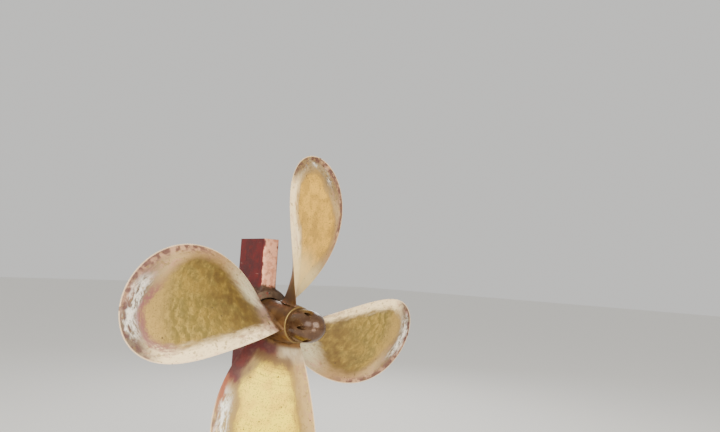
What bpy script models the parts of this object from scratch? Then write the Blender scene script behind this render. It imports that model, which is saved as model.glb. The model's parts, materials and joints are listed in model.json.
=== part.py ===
"""A four-bladed, right-handed ship propeller with its tail shaft, stern tube and stern-frame boss.

Metres, +Z up, +Y forward along the ship, +X to starboard. The origin is the centre of the flat butt
face on top of the upper post stub. Everything on the shaft is drawn in the shaft's own frame, whose
local Z runs forward along the shaft from the propeller's plane, and whose local -Y is up.
"""

from math import atan2, cos, pi, radians, sin, sqrt

import bmesh
import bpy
from mathutils import Matrix, Vector

# Clearances
FIT_GAP = 0.0003
RUNNING_GAP = 0.0006
SHAFT_CLEAR = 0.0025
CUT_PAST = 0.004

# Propeller hub, along the shaft from the blades' reference plane
HUB_AFT = -0.064
HUB_LENGTH = 0.271
HUB_FORWARD = HUB_AFT + HUB_LENGTH
HUB_AFT_RADIUS = 0.087
HUB_MIDDLE_RADIUS = 0.100
HUB_FORWARD_RADIUS = 0.1065
HUB_EDGE = 0.003

# Blades
BLADE_COUNT = 4
RADIUS = 0.85
PITCH = 1.281
RAKE_SLOPE = 0.128
BLADE_AHEAD = 0.068
ROOT_CHORD = 0.246
FULL_CHORD = 0.641
FULL_CHORD_AT = 0.891
TIP_POWER = 5.7
ROOT_THICKNESS = 0.052
TIP_THICKNESS = 0.007
TIP_THIN = 0.35
TIP_THIN_OVER = 0.25
FACE_HOLLOW = 0.10
NOSE_SHARE = 0.28
REST_TURN = radians(5.7)
SWEEP = radians(14.4)
SWEEP_POWER = 1.6
ROOT_FILLET = 0.020
FILLET_PAST_EDGE = 0.15
ROOT_SUNK = 0.006
BLADE_STATIONS = 15
SECTION_POINTS = 26

# Tail shaft
SHAFT_RADIUS = 0.055
TAPER = 1.0 / 12.0
THREAD_RADIUS = 0.034
THREAD_LENGTH = 0.082
SHAFT_PAST_LINER = 0.175
FLANGE_RADIUS = 0.125
FLANGE_THICKNESS = 0.030
FLANGE_BOLT_CIRCLE = 0.095
FLANGE_HOLE_RADIUS = 0.011
FLANGE_HOLES = 6
KEY_WIDTH = 0.026
KEY_HEIGHT = 0.016
KEY_LENGTH = 0.170
KEY_BACK = 0.045
SHAFT_AFT = HUB_AFT - THREAD_LENGTH
KEY_FORWARD = HUB_FORWARD - KEY_BACK

# Propeller nut and its lock plate
NUT_FLATS = 0.092
NUT_HEIGHT = 0.062
LOCK_PLATE_RADIUS = 0.044
LOCK_PLATE_THICKNESS = 0.008
LOCK_SCREW_RADIUS = 0.004
LOCK_SCREW_CIRCLE = 0.020
LOCK_SCREW_FLATS = 0.013
LOCK_SCREW_HEAD = 0.006
LOCK_SCREW_LENGTH = 0.026

# Boss cap
CAP_RADIUS = 0.079
CAP_LENGTH = 0.170
CAP_STRAIGHT = 0.055
CAP_WALL = 0.016
CAP_CAVITY_RADIUS = 0.055
CAP_BOLTS = 6
CAP_BOLT_CIRCLE = 0.0685
CAP_BOLT_RADIUS = 0.004
CAP_BOLT_FLATS = 0.013
CAP_BOLT_HEAD = 0.006
CAP_BOLT_GRIP = 0.014
CAP_BOLT_LENGTH = 0.034
CAP_POCKET_RADIUS = 0.0085

# Stern tube, the nut that holds it and the water-lubricated bearing in it
TUBE_INNER = 0.075
TUBE_OUTER = 0.085
TUBE_TO_HUB = 0.020
TUBE_LENGTH = 0.573
TUBE_FLANGE_RADIUS = 0.122
TUBE_FLANGE_THICKNESS = 0.020
TUBE_NUT_RADIUS = 0.106
TUBE_NUT_LENGTH = 0.025
TUBE_NUT_SLOTS = 6
TUBE_NUT_SLOT_WIDTH = 0.018
TUBE_NUT_SLOT_DEPTH = 0.006
BUSH_WALL = 0.005
BUSH_LENGTH = 0.400
STAVE_GROOVES = 10
STAVE_GROOVE_RADIUS = 0.0035
KEEPER_THICKNESS = 0.007
KEEPER_RADIUS = 0.0835
TUBE_AFT = HUB_FORWARD + TUBE_TO_HUB
TUBE_FORWARD = TUBE_AFT + TUBE_LENGTH

# Stern-frame boss and the post stubs cast with it
BOSS_TO_HUB = 0.005
BOSS_LENGTH = 0.370
BOSS_FACE_RADIUS = 0.150
BOSS_RADIUS = 0.175
BOSS_FORWARD_RADIUS = 0.135
BOSS_DOME = 0.075
BOSS_BARREL = 0.190
BOSS_RECESS_RADIUS = 0.112
BOSS_RECESS = 0.035
POST_HALF_WIDTH = 0.048
POST_HALF_LENGTH = 0.120
POST_ROUNDING = 0.012
POST_BACK = 0.001
POST_ROOT = 0.060
POST_FLARE = 0.050
POST_FLARE_HEIGHT = 0.165
SHAFT_DROP = 0.42
LOWER_STUB = 0.300
BOSS_AFT = HUB_FORWARD + BOSS_TO_HUB
BOSS_SEAT = BOSS_AFT + BOSS_RECESS
BOSS_FORWARD = BOSS_AFT + BOSS_LENGTH

# The blades' reference plane lies this far aft of the post's middle, where the origin is
PROPELLER_AFT = BOSS_AFT + POST_BACK + POST_HALF_LENGTH

# Rope guard: a coned ring in two halves over the gap between hub and boss
GUARD_INNER = 0.1125
GUARD_LIP_RADIUS = 0.1185
GUARD_OUTER = 0.1490
GUARD_EDGE = 0.004
GUARD_DEPTH = 0.0135
GUARD_SCREWS = 3
GUARD_SCREW_CIRCLE = 0.1360
GUARD_SCREW_RADIUS = 0.003
GUARD_SCREW_HEAD_RADIUS = 0.0055
GUARD_SCREW_HEAD = 0.0030
GUARD_SCREW_TOP_RADIUS = 0.00385
GUARD_SCREW_SEAT = 0.0055
GUARD_SCREW_LENGTH = 0.018

# Stuffing box and gland
BOX_LENGTH = 0.105
BOX_RADIUS = 0.088
BOX_BORE = 0.078
BOX_FLOOR = 0.012
BOX_FLANGE_THICKNESS = 0.018
BOX_BOLTS = 6
BOX_BOLT_RADIUS = 0.006
BOX_BOLT_FLATS = 0.019
BOX_BOLT_HEAD = 0.008
BOX_BOLT_PAST = 0.004
BOX_BOLT_CIRCLE = 0.106
PACKING_RINGS = 3
PACKING_THICKNESS = 0.012
GLAND_NOSE = 0.030
GLAND_FLANGE_THICKNESS = 0.014
GLAND_FLANGE_RADIUS = 0.118
GLAND_GAP = 0.010
GLAND_STUDS = 3
GLAND_STUD_RADIUS = 0.006
GLAND_STUD_CIRCLE = 0.1035
GLAND_STUD_FLATS = 0.019
GLAND_STUD_NUT = 0.010
GLAND_STUD_PAST = 0.006
STUD_FLOOR = 0.004
BOX_FORWARD = TUBE_FORWARD + BOX_LENGTH

# Liner on the shaft and its seal on the hub
LINER_RADIUS = 0.063
LINER_TO_HUB = 0.008
LINER_PAST_BOX = 0.050
SEAL_RADIUS = 0.066
LINER_FORWARD = BOX_FORWARD + LINER_PAST_BOX
SHAFT_FORWARD = LINER_FORWARD + SHAFT_PAST_LINER

# Fineness of the round shapes; the last ring before a pole lies this share of a step from it
TURN_STEPS = 40
SMALL_STEPS = 24
POLE_SHARE = 0.5


def clear_scene():
    for obj in list(bpy.data.objects):
        bpy.data.objects.remove(obj, do_unlink=True)


def material(name, colour, roughness, metallic):
    made = bpy.data.materials.new(name)
    made.use_nodes = True
    shader = made.node_tree.nodes["Principled BSDF"]
    shader.inputs["Base Color"].default_value = (*colour, 1.0)
    shader.inputs["Roughness"].default_value = roughness
    shader.inputs["Metallic"].default_value = metallic
    return made


def collection(name):
    made = bpy.data.collections.new(name)
    bpy.context.scene.collection.children.link(made)
    return made


def place(name, mesh, paint, parent, group):
    obj = bpy.data.objects.new(name, mesh)
    group.objects.link(obj)
    obj.parent = parent
    if paint:
        mesh.materials.append(paint)
    if group == CUTTERS:
        obj.hide_render = True
        obj.display_type = "WIRE"
    return obj


def part(name, mesh, paint, parent):
    obj = place(name, mesh, paint, parent, PARTS)
    mesh.shade_smooth()
    mesh.set_sharp_from_angle(angle=radians(35))
    return obj


def cutter(name, mesh, parent):
    return place(name, mesh, None, parent, CUTTERS)


def boolean(target, tool, operation):
    step = target.modifiers.new(f"{operation.lower()}_{tool.name}", "BOOLEAN")
    step.operation = operation
    step.object = tool
    step.solver = "EXACT"


def cut(target, tool):
    boolean(target, tool, "DIFFERENCE")


def join(target, tool):
    boolean(target, tool, "UNION")


def mesh_of(bm, name):
    bmesh.ops.recalc_face_normals(bm, faces=bm.faces)
    mesh = bpy.data.meshes.new(name)
    bm.to_mesh(mesh)
    bm.free()
    return mesh


def loft(name, rings, aft_pole=None, forward_pole=None):
    """One closed body through rings of as many points each, its ends flat or drawn to a pole."""
    bm = bmesh.new()
    rows = [[bm.verts.new(point) for point in ring] for ring in rings]
    count = len(rows[0])
    for lower, upper in zip(rows, rows[1:]):
        for i in range(count):
            j = (i + 1) % count
            bm.faces.new((lower[i], lower[j], upper[j], upper[i]))
    for row, pole in ((rows[0], aft_pole), (rows[-1], forward_pole)):
        if pole is None:
            bm.faces.new(row)
            continue
        top = bm.verts.new(pole)
        for i in range(count):
            bm.faces.new((row[i], row[(i + 1) % count], top))
    return mesh_of(bm, name)


def circle(radius, z, count, centre=(0.0, 0.0), phase=0.0):
    angles = [phase + 2 * pi * i / count for i in range(count)]
    return [
        (centre[0] + radius * cos(a), centre[1] + radius * sin(a), z) for a in angles
    ]


def hexagon(flats, z, centre=(0.0, 0.0)):
    """Twelve points round a hexagon, its corners and the middles of its flats in turn."""
    points = []
    for i in range(12):
        reach = flats / 2 / (cos(pi / 6) if i % 2 == 0 else 1.0)
        angle = pi * i / 6
        points.append((centre[0] + reach * cos(angle), centre[1] + reach * sin(angle), z))
    return points


def turned(name, profile, steps=TURN_STEPS, phase=0.0):
    """A ring or solid of revolution about local Z from (radius, z) points, run round in either sense."""
    bm = bmesh.new()
    loops = []
    for i in range(steps):
        angle = phase + 2 * pi * i / steps
        loops.append(
            [bm.verts.new((r * cos(angle), r * sin(angle), z)) for r, z in profile]
        )
    count = len(profile)
    for i in range(steps):
        here, beyond = loops[i], loops[(i + 1) % steps]
        for k in range(count):
            m = (k + 1) % count
            bm.faces.new((here[k], beyond[k], beyond[m], here[m]))
    return mesh_of(bm, name)


def tube_profile(inner, outer, start, end):
    return [(outer, start), (outer, end), (inner, end), (inner, start)]


def bar(name, radius, start, end, steps=SMALL_STEPS, centre=(0.0, 0.0)):
    return loft(
        name, [circle(radius, z, steps, centre) for z in (start, end)]
    )


def bars(name, radius, start, end, circle_radius, count, steps=12, phase=0.0):
    """Several like bars on one pitch circle, as one mesh of separate bodies."""
    bm = bmesh.new()
    for i in range(count):
        angle = phase + 2 * pi * i / count
        centre = (circle_radius * cos(angle), circle_radius * sin(angle))
        rows = [
            [bm.verts.new(p) for p in circle(radius, z, steps, centre)]
            for z in (start, end)
        ]
        for k in range(steps):
            m = (k + 1) % steps
            bm.faces.new((rows[0][k], rows[0][m], rows[1][m], rows[1][k]))
        bm.faces.new(rows[0])
        bm.faces.new(rows[1])
    return mesh_of(bm, name)


def block(name, size, centre, turn=0.0):
    bm = bmesh.new()
    spot = Matrix.Rotation(turn, 4, "Z") @ Matrix.Translation(centre)
    bmesh.ops.create_cube(bm, size=1.0, matrix=spot @ Matrix.Diagonal((*size, 1.0)))
    return mesh_of(bm, name)


def hex_bolt(name, flats, head, shank_radius, length, seat, forward=True, nut=None):
    """A bolt along local Z whose head sits on seat; its shank runs forward or aft, with a nut if asked."""
    way = 1.0 if forward else -1.0
    rings = [
        hexagon(flats, seat - way * head),
        hexagon(flats, seat),
        circle(shank_radius, seat, 12),
    ]
    if nut is None:
        rings.append(circle(shank_radius, seat + way * length, 12))
        return loft(name, rings)
    nut_start, nut_height = nut
    rings.append(circle(shank_radius, nut_start, 12))
    rings.append(hexagon(flats, nut_start))
    rings.append(hexagon(flats, nut_start + way * nut_height))
    rings.append(circle(shank_radius, nut_start + way * nut_height, 12))
    rings.append(circle(shank_radius, seat + way * length, 12))
    return loft(name, rings)


def on_circle(index, count, radius, phase=0.0):
    angle = phase + 2 * pi * index / count
    return Vector((radius * cos(angle), radius * sin(angle), 0.0))


def hub_radius(z):
    """The hub's outer radius at a place along it: a curve through its aft, middle and forward radii."""
    share = (z - HUB_AFT) / (HUB_FORWARD - HUB_AFT)
    aft_fall = HUB_MIDDLE_RADIUS - HUB_AFT_RADIUS
    forward_fall = HUB_MIDDLE_RADIUS - HUB_FORWARD_RADIUS
    if share < 0.5:
        return HUB_MIDDLE_RADIUS - aft_fall * (1 - 2 * share) ** 2
    return HUB_MIDDLE_RADIUS - forward_fall * (2 * share - 1) ** 2


def bore_radius(z):
    """The shaft's taper, largest at the hub's forward end."""
    return SHAFT_RADIUS - (HUB_FORWARD - z) * TAPER / 2


def chord(r):
    """The blade's width along the helix: it grows as a sine, and the rounded tip draws it in."""
    share = (r - HUB_MIDDLE_RADIUS) / (FULL_CHORD_AT - HUB_MIDDLE_RADIUS)
    grown = sin(pi / 2 * min(max(share, 0.0), 1.0))
    fullest = ROOT_CHORD + (FULL_CHORD - ROOT_CHORD) * grown
    return fullest * sqrt(max(0.0, 1 - (r / RADIUS) ** TIP_POWER))


def thickness(r):
    share = (r - HUB_MIDDLE_RADIUS) / (RADIUS - HUB_MIDDLE_RADIUS)
    return ROOT_THICKNESS + (TIP_THICKNESS - ROOT_THICKNESS) * share


def fillet(r):
    reach = ROOT_FILLET - min(max(r - HUB_MIDDLE_RADIUS, 0.0), ROOT_FILLET)
    return ROOT_FILLET - sqrt(ROOT_FILLET**2 - reach**2)


def blade_point(r, along, across):
    """A point of the blade on the cylinder of radius r: along the helix to the leading edge, and
    across it to the suction side, in the shaft's frame."""
    slope = atan2(PITCH, 2 * pi * r)
    middle = SWEEP * (1 - (r / RADIUS) ** SWEEP_POWER)
    turn = middle + (along * cos(slope) - across * sin(slope)) / r
    axial = BLADE_AHEAD + along * sin(slope) + across * cos(slope) - RAKE_SLOPE * r
    return (r * sin(turn), -r * cos(turn), axial)


def blade_section(r):
    """Points round the blade at radius r: a rounded back, a face that is hollowed very little."""
    half = chord(r) / 2
    deep = thickness(r) * min(1.0, TIP_THIN + half / TIP_THIN_OVER)
    extra = fillet(r)
    points = []
    for i in range(SECTION_POINTS):
        angle = 2 * pi * i / SECTION_POINTS
        station, rise = cos(angle), sin(angle)
        arch = deep * ((1 - NOSE_SHARE) * rise**2 + NOSE_SHARE * abs(rise))
        back = arch + extra * abs(rise)
        face = -FACE_HOLLOW * arch - extra * abs(rise)
        along = station * (half + FILLET_PAST_EDGE * extra)
        points.append(blade_point(r, along, back if rise >= 0 else face))
    return points


def blade_mesh(name):
    root = HUB_AFT_RADIUS - ROOT_SUNK
    rings = []
    for i in range(BLADE_STATIONS):
        share = i / (BLADE_STATIONS - 1 + POLE_SHARE)
        rings.append(blade_section(root + (RADIUS - root) * sin(share * pi / 2)))
    return loft(name, rings, forward_pole=blade_point(RADIUS, 0.0, TIP_THICKNESS / 2))


def make_propeller(shaft):
    outer = []
    steps = 8
    for i in range(steps + 1):
        z = HUB_FORWARD - HUB_EDGE + (HUB_AFT - HUB_FORWARD + 2 * HUB_EDGE) * i / steps
        outer.append((hub_radius(z), z))
    outer.insert(0, (HUB_FORWARD_RADIUS - HUB_EDGE, HUB_FORWARD))
    outer.append((HUB_AFT_RADIUS - HUB_EDGE, HUB_AFT))
    gap = FIT_GAP
    forward_bore = bore_radius(HUB_FORWARD) + gap
    aft_bore = bore_radius(HUB_AFT) + gap
    profile = outer + [(aft_bore, HUB_AFT), (forward_bore, HUB_FORWARD)]
    casting = part("propeller_casting", turned("propeller_casting", profile), BRONZE, shaft)
    shared = blade_mesh("blade")
    for i in range(BLADE_COUNT):
        blade = cutter(f"blade_{i + 1}", shared, shaft)
        blade.rotation_euler.z = REST_TURN + 2 * pi * i / BLADE_COUNT
        join(casting, blade)
    holes = bars(
        "cap_bolt_holes",
        CAP_BOLT_RADIUS + gap,
        HUB_AFT - CUT_PAST,
        HUB_AFT + CAP_BOLT_LENGTH - CAP_BOLT_GRIP + CUT_PAST,
        CAP_BOLT_CIRCLE,
        CAP_BOLTS,
    )
    cut(casting, cutter("cap_bolt_holes", holes, shaft))
    keyway = (KEY_WIDTH + 2 * gap, KEY_HEIGHT, KEY_LENGTH + 2 * gap)
    slot = block("hub_keyway", keyway, key_centre(gap))
    cut(casting, cutter("hub_keyway", slot, shaft))
    return casting


def key_centre(lift=0.0):
    middle = KEY_FORWARD - KEY_LENGTH / 2
    return (0.0, -(bore_radius(middle) + lift), middle)


def make_shaft(shaft):
    profile = [
        (THREAD_RADIUS, SHAFT_AFT),
        (THREAD_RADIUS, HUB_AFT + FIT_GAP),
        (bore_radius(HUB_AFT), HUB_AFT + FIT_GAP),
        (SHAFT_RADIUS, HUB_FORWARD),
        (SHAFT_RADIUS, SHAFT_FORWARD - FLANGE_THICKNESS),
        (FLANGE_RADIUS, SHAFT_FORWARD - FLANGE_THICKNESS),
        (FLANGE_RADIUS, SHAFT_FORWARD),
    ]
    rings = [circle(r, z, TURN_STEPS) for r, z in profile]
    body = part("tail_shaft", loft("tail_shaft", rings), STEEL, shaft)
    slot = block(
        "shaft_keyway",
        (KEY_WIDTH + 2 * FIT_GAP, KEY_HEIGHT + 2 * FIT_GAP, KEY_LENGTH + 2 * FIT_GAP),
        key_centre(),
    )
    cut(body, cutter("shaft_keyway", slot, shaft))
    holes = bars(
        "coupling_holes",
        FLANGE_HOLE_RADIUS,
        SHAFT_FORWARD - FLANGE_THICKNESS - CUT_PAST,
        SHAFT_FORWARD + CUT_PAST,
        FLANGE_BOLT_CIRCLE,
        FLANGE_HOLES,
    )
    cut(body, cutter("coupling_holes", holes, shaft))
    screw_holes = bars(
        "lock_screw_holes",
        LOCK_SCREW_RADIUS + FIT_GAP,
        SHAFT_AFT - CUT_PAST,
        SHAFT_AFT + LOCK_SCREW_LENGTH,
        LOCK_SCREW_CIRCLE,
        2,
    )
    tool = cutter("lock_screw_holes", screw_holes, shaft)
    cut(body, tool)
    key_size = (KEY_WIDTH, KEY_HEIGHT - 2 * FIT_GAP, KEY_LENGTH)
    part("propeller_key", block("propeller_key", key_size, key_centre()), STEEL, shaft)
    return tool


def make_nut(shaft, screw_holes):
    start = HUB_AFT - FIT_GAP - NUT_HEIGHT
    rings = [hexagon(NUT_FLATS, z) for z in (start, start + NUT_HEIGHT)]
    nut = part("propeller_nut", loft("propeller_nut", rings), DULL_BRONZE, shaft)
    thread = bar(
        "nut_thread",
        THREAD_RADIUS + FIT_GAP,
        start - CUT_PAST,
        start + NUT_HEIGHT + CUT_PAST,
        TURN_STEPS,
    )
    cut(nut, cutter("nut_thread", thread, shaft))
    plate_forward = SHAFT_AFT - FIT_GAP
    plate_aft = plate_forward - LOCK_PLATE_THICKNESS
    plate = part(
        "nut_lock_plate",
        bar("nut_lock_plate", LOCK_PLATE_RADIUS, plate_aft, plate_forward),
        STEEL,
        shaft,
    )
    through = bars(
        "lock_plate_holes",
        LOCK_SCREW_RADIUS + FIT_GAP,
        plate_aft - CUT_PAST,
        plate_forward + CUT_PAST,
        LOCK_SCREW_CIRCLE,
        2,
    )
    cut(plate, cutter("lock_plate_holes", through, shaft))
    for i in range(2):
        screw = hex_bolt(
            f"lock_screw_{i + 1}",
            LOCK_SCREW_FLATS,
            LOCK_SCREW_HEAD,
            LOCK_SCREW_RADIUS,
            LOCK_SCREW_LENGTH,
            plate_aft - FIT_GAP,
        )
        part(screw.name, screw, STEEL, shaft).location = on_circle(i, 2, LOCK_SCREW_CIRCLE)


def cap_outline(radius, length, straight, base):
    """(radius, z) points of a cap: straight for a way, then a half ellipse drawn in to the axis."""
    points = [(radius, base), (radius, base - straight)]
    steps = 7
    for i in range(1, steps + 1):
        angle = pi / 2 * i / (steps + POLE_SHARE)
        points.append((radius * cos(angle), base - straight - (length - straight) * sin(angle)))
    return points


def make_cap(shaft):
    base = HUB_AFT - FIT_GAP
    outside = cap_outline(CAP_RADIUS, CAP_LENGTH, CAP_STRAIGHT, base)
    rings = [circle(r, z, TURN_STEPS) for r, z in reversed(outside)]
    nose = (0.0, 0.0, base - CAP_LENGTH)
    cap = part("boss_cap", loft("boss_cap", rings, aft_pole=nose), CAP_BROWN, shaft)
    inside = cap_outline(CAP_CAVITY_RADIUS, CAP_LENGTH - CAP_WALL, CAP_STRAIGHT, base)
    inside[0] = (CAP_CAVITY_RADIUS, base + CUT_PAST)
    rings = [circle(r, z, TURN_STEPS) for r, z in reversed(inside)]
    bottom = (0.0, 0.0, base - CAP_LENGTH + CAP_WALL)
    cut(cap, cutter("cap_cavity", loft("cap_cavity", rings, aft_pole=bottom), shaft))
    pockets = bars(
        "cap_pockets",
        CAP_POCKET_RADIUS,
        base - CAP_LENGTH,
        base - CAP_BOLT_GRIP,
        CAP_BOLT_CIRCLE,
        CAP_BOLTS,
        steps=16,
    )
    cut(cap, cutter("cap_pockets", pockets, shaft))
    holes = bars(
        "cap_holes",
        CAP_BOLT_RADIUS + FIT_GAP,
        base - CAP_BOLT_GRIP - CUT_PAST,
        base + CUT_PAST,
        CAP_BOLT_CIRCLE,
        CAP_BOLTS,
    )
    cut(cap, cutter("cap_holes", holes, shaft))
    for i in range(CAP_BOLTS):
        bolt = hex_bolt(
            f"cap_bolt_{i + 1}",
            CAP_BOLT_FLATS,
            CAP_BOLT_HEAD,
            CAP_BOLT_RADIUS,
            CAP_BOLT_LENGTH,
            base - CAP_BOLT_GRIP - FIT_GAP,
        )
        spot = on_circle(i, CAP_BOLTS, CAP_BOLT_CIRCLE)
        part(bolt.name, bolt, DULL_BRONZE, shaft).location = spot


def make_liner(shaft):
    start = HUB_FORWARD + LINER_TO_HUB
    bore = SHAFT_RADIUS + FIT_GAP
    sleeve = tube_profile(bore, LINER_RADIUS, start, LINER_FORWARD)
    part("shaft_liner", turned("shaft_liner", sleeve), LINER_BRONZE, shaft)
    ring = tube_profile(bore, SEAL_RADIUS, HUB_FORWARD + FIT_GAP, start - FIT_GAP)
    part("hub_seal_ring", turned("hub_seal_ring", ring), RUBBER, shaft)


def make_stern_tube(line):
    profile = [
        (TUBE_INNER, TUBE_AFT),
        (TUBE_OUTER, TUBE_AFT),
        (TUBE_OUTER, TUBE_FORWARD - TUBE_FLANGE_THICKNESS),
        (TUBE_FLANGE_RADIUS, TUBE_FORWARD - TUBE_FLANGE_THICKNESS),
        (TUBE_FLANGE_RADIUS, TUBE_FORWARD),
        (TUBE_INNER, TUBE_FORWARD),
    ]
    tube = part("stern_tube", turned("stern_tube", profile), STEEL, line)
    holes = bars(
        "tube_flange_holes",
        BOX_BOLT_RADIUS + FIT_GAP,
        TUBE_FORWARD - TUBE_FLANGE_THICKNESS - CUT_PAST,
        TUBE_FORWARD + BOX_FLANGE_THICKNESS + CUT_PAST,
        BOX_BOLT_CIRCLE,
        BOX_BOLTS,
        phase=pi / BOX_BOLTS,
    )
    flange_holes = cutter("tube_flange_holes", holes, line)
    cut(tube, flange_holes)
    nut_end = BOSS_SEAT - FIT_GAP
    nut_start = nut_end - TUBE_NUT_LENGTH
    ring = tube_profile(TUBE_OUTER + FIT_GAP, TUBE_NUT_RADIUS, nut_start, nut_end)
    nut = part("stern_tube_nut", turned("stern_tube_nut", ring), STEEL, line)
    slot_size = (
        2 * TUBE_NUT_SLOT_DEPTH,
        TUBE_NUT_SLOT_WIDTH,
        TUBE_NUT_LENGTH + 2 * CUT_PAST,
    )
    for i in range(TUBE_NUT_SLOTS):
        name = f"tube_nut_slot_{i + 1}"
        middle = (TUBE_NUT_RADIUS, 0.0, (nut_start + nut_end) / 2)
        slot = block(name, slot_size, middle, turn=2 * pi * (i + 0.5) / TUBE_NUT_SLOTS)
        cut(nut, cutter(name, slot, line))
    return flange_holes


def make_bearing(line):
    start = TUBE_AFT + FIT_GAP
    end = start + BUSH_LENGTH
    shell_outer = TUBE_INNER - FIT_GAP
    shell_inner = shell_outer - BUSH_WALL
    shell = tube_profile(shell_inner, shell_outer, start, end)
    part("bearing_bush", turned("bearing_bush", shell), LINER_BRONZE, line)
    stave_outer = shell_inner - FIT_GAP
    stave_inner = LINER_RADIUS + RUNNING_GAP
    staves = tube_profile(stave_inner, stave_outer, start, end)
    lining = part("bearing_staves", turned("bearing_staves", staves), RUBBER, line)
    grooves = bars(
        "stave_grooves",
        STAVE_GROOVE_RADIUS,
        start - CUT_PAST,
        end + CUT_PAST,
        stave_inner,
        STAVE_GROOVES,
        steps=8,
    )
    cut(lining, cutter("stave_grooves", grooves, line))
    keeper_end = TUBE_AFT - FIT_GAP
    keeper = tube_profile(
        LINER_RADIUS + SHAFT_CLEAR,
        KEEPER_RADIUS,
        keeper_end - KEEPER_THICKNESS,
        keeper_end,
    )
    part("bush_keeper_ring", turned("bush_keeper_ring", keeper), STEEL, line)


def rounded_rectangle(half_x, half_z, rounding, height):
    """A rounded rectangle across the post, as points at one height on the shaft's local Y."""
    points = []
    for corner_x, corner_z, first in ((1, 1, 0), (-1, 1, 1), (-1, -1, 2), (1, -1, 3)):
        for i in range(5):
            angle = pi / 2 * (first + i / 4)
            points.append(
                (
                    corner_x * (half_x - rounding) + rounding * cos(angle),
                    height,
                    PROPELLER_AFT + corner_z * (half_z - rounding) + rounding * sin(angle),
                )
            )
    return points


def boss_outline():
    """(radius, z) points of the boss: a domed shoulder, a straight barrel and a long taper."""
    points = [(BOSS_FACE_RADIUS, BOSS_AFT)]
    steps = 6
    for i in range(1, steps + 1):
        angle = pi / 2 * i / steps
        radius = BOSS_FACE_RADIUS + (BOSS_RADIUS - BOSS_FACE_RADIUS) * sin(angle)
        points.append((radius, BOSS_AFT + BOSS_DOME * (1 - cos(angle))))
    taper_from = BOSS_AFT + BOSS_BARREL
    for i in range(steps + 1):
        share = i / steps
        fall = (BOSS_RADIUS - BOSS_FORWARD_RADIUS) * (1 - cos(pi * share)) / 2
        points.append((BOSS_RADIUS - fall, taper_from + (BOSS_FORWARD - taper_from) * share))
    return points


def make_boss(line):
    solid = [circle(r, z, TURN_STEPS) for r, z in boss_outline()]
    boss = part("stern_frame_boss", loft("stern_frame_boss", solid), BOSS_PAINT, line)
    for name, reach, way in (("upper_post", SHAFT_DROP, -1), ("lower_post", LOWER_STUB, 1)):
        rows = []
        for i in range(9):
            share = i / 8
            height = POST_ROOT + POST_FLARE_HEIGHT * share
            wide = POST_HALF_WIDTH + POST_FLARE * (1 - sin(share * pi / 2)) ** 2
            rows.append(
                rounded_rectangle(wide, POST_HALF_LENGTH, POST_ROUNDING, way * height)
            )
        rows.append(
            rounded_rectangle(POST_HALF_WIDTH, POST_HALF_LENGTH, POST_ROUNDING, way * reach)
        )
        join(boss, cutter(name, loft(name, rows), line))
    recess = bar(
        "boss_recess", BOSS_RECESS_RADIUS, BOSS_AFT - CUT_PAST, BOSS_SEAT, TURN_STEPS
    )
    cut(boss, cutter("boss_recess", recess, line))
    bore = TUBE_OUTER + FIT_GAP
    hole = bar("boss_bore", bore, BOSS_AFT - CUT_PAST, BOSS_FORWARD + CUT_PAST, TURN_STEPS)
    cut(boss, cutter("boss_bore", hole, line))
    return boss


def make_rope_guard(line, boss):
    end = BOSS_AFT - FIT_GAP
    start = end - GUARD_DEPTH
    seat = end - GUARD_SCREW_SEAT
    profile = [
        (GUARD_INNER, start),
        (GUARD_LIP_RADIUS, start),
        (GUARD_OUTER, end - GUARD_EDGE),
        (GUARD_OUTER, end),
        (GUARD_INNER, end),
    ]
    shank_holes = bars(
        "guard_screw_holes",
        GUARD_SCREW_RADIUS + FIT_GAP,
        start - CUT_PAST,
        seat + GUARD_SCREW_LENGTH + FIT_GAP,
        GUARD_SCREW_CIRCLE,
        2 * GUARD_SCREWS,
        phase=pi / (2 * GUARD_SCREWS),
    )
    head_seats = bars(
        "guard_screw_seats",
        GUARD_SCREW_HEAD_RADIUS + FIT_GAP,
        start - CUT_PAST,
        seat + FIT_GAP,
        GUARD_SCREW_CIRCLE,
        2 * GUARD_SCREWS,
        phase=pi / (2 * GUARD_SCREWS),
    )
    holes = cutter("guard_screw_holes", shank_holes, line)
    seats = cutter("guard_screw_seats", head_seats, line)
    cut(boss, holes)
    wide = 4 * GUARD_OUTER
    half_step = pi / TURN_STEPS
    for half_index, (name, way) in enumerate((("lower", 1), ("upper", -1))):
        ring = turned(f"rope_guard_{name}", profile, phase=half_step)
        half = part(f"rope_guard_{name}", ring, BOSS_PAINT, line)
        other_half = block(
            f"rope_guard_{name}_off",
            (wide, wide, 4 * GUARD_DEPTH),
            (0.0, -way * (wide / 2 - FIT_GAP / 2), (start + end) / 2),
        )
        cut(half, cutter(f"rope_guard_{name}_off", other_half, line))
        cut(half, holes)
        cut(half, seats)
        for i in range(GUARD_SCREWS):
            rings = [
                circle(GUARD_SCREW_TOP_RADIUS, seat - GUARD_SCREW_HEAD, 12),
                circle(GUARD_SCREW_HEAD_RADIUS, seat - GUARD_SCREW_HEAD / 2, 12),
                circle(GUARD_SCREW_HEAD_RADIUS, seat, 12),
                circle(GUARD_SCREW_RADIUS, seat, 12),
                circle(GUARD_SCREW_RADIUS, seat + GUARD_SCREW_LENGTH, 12),
            ]
            screw = loft(f"guard_screw_{name}_{i + 1}", rings)
            index = half_index * GUARD_SCREWS + i
            spot = on_circle(
                index, 2 * GUARD_SCREWS, GUARD_SCREW_CIRCLE, pi / (2 * GUARD_SCREWS)
            )
            part(screw.name, screw, STEEL, line).location = spot


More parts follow.
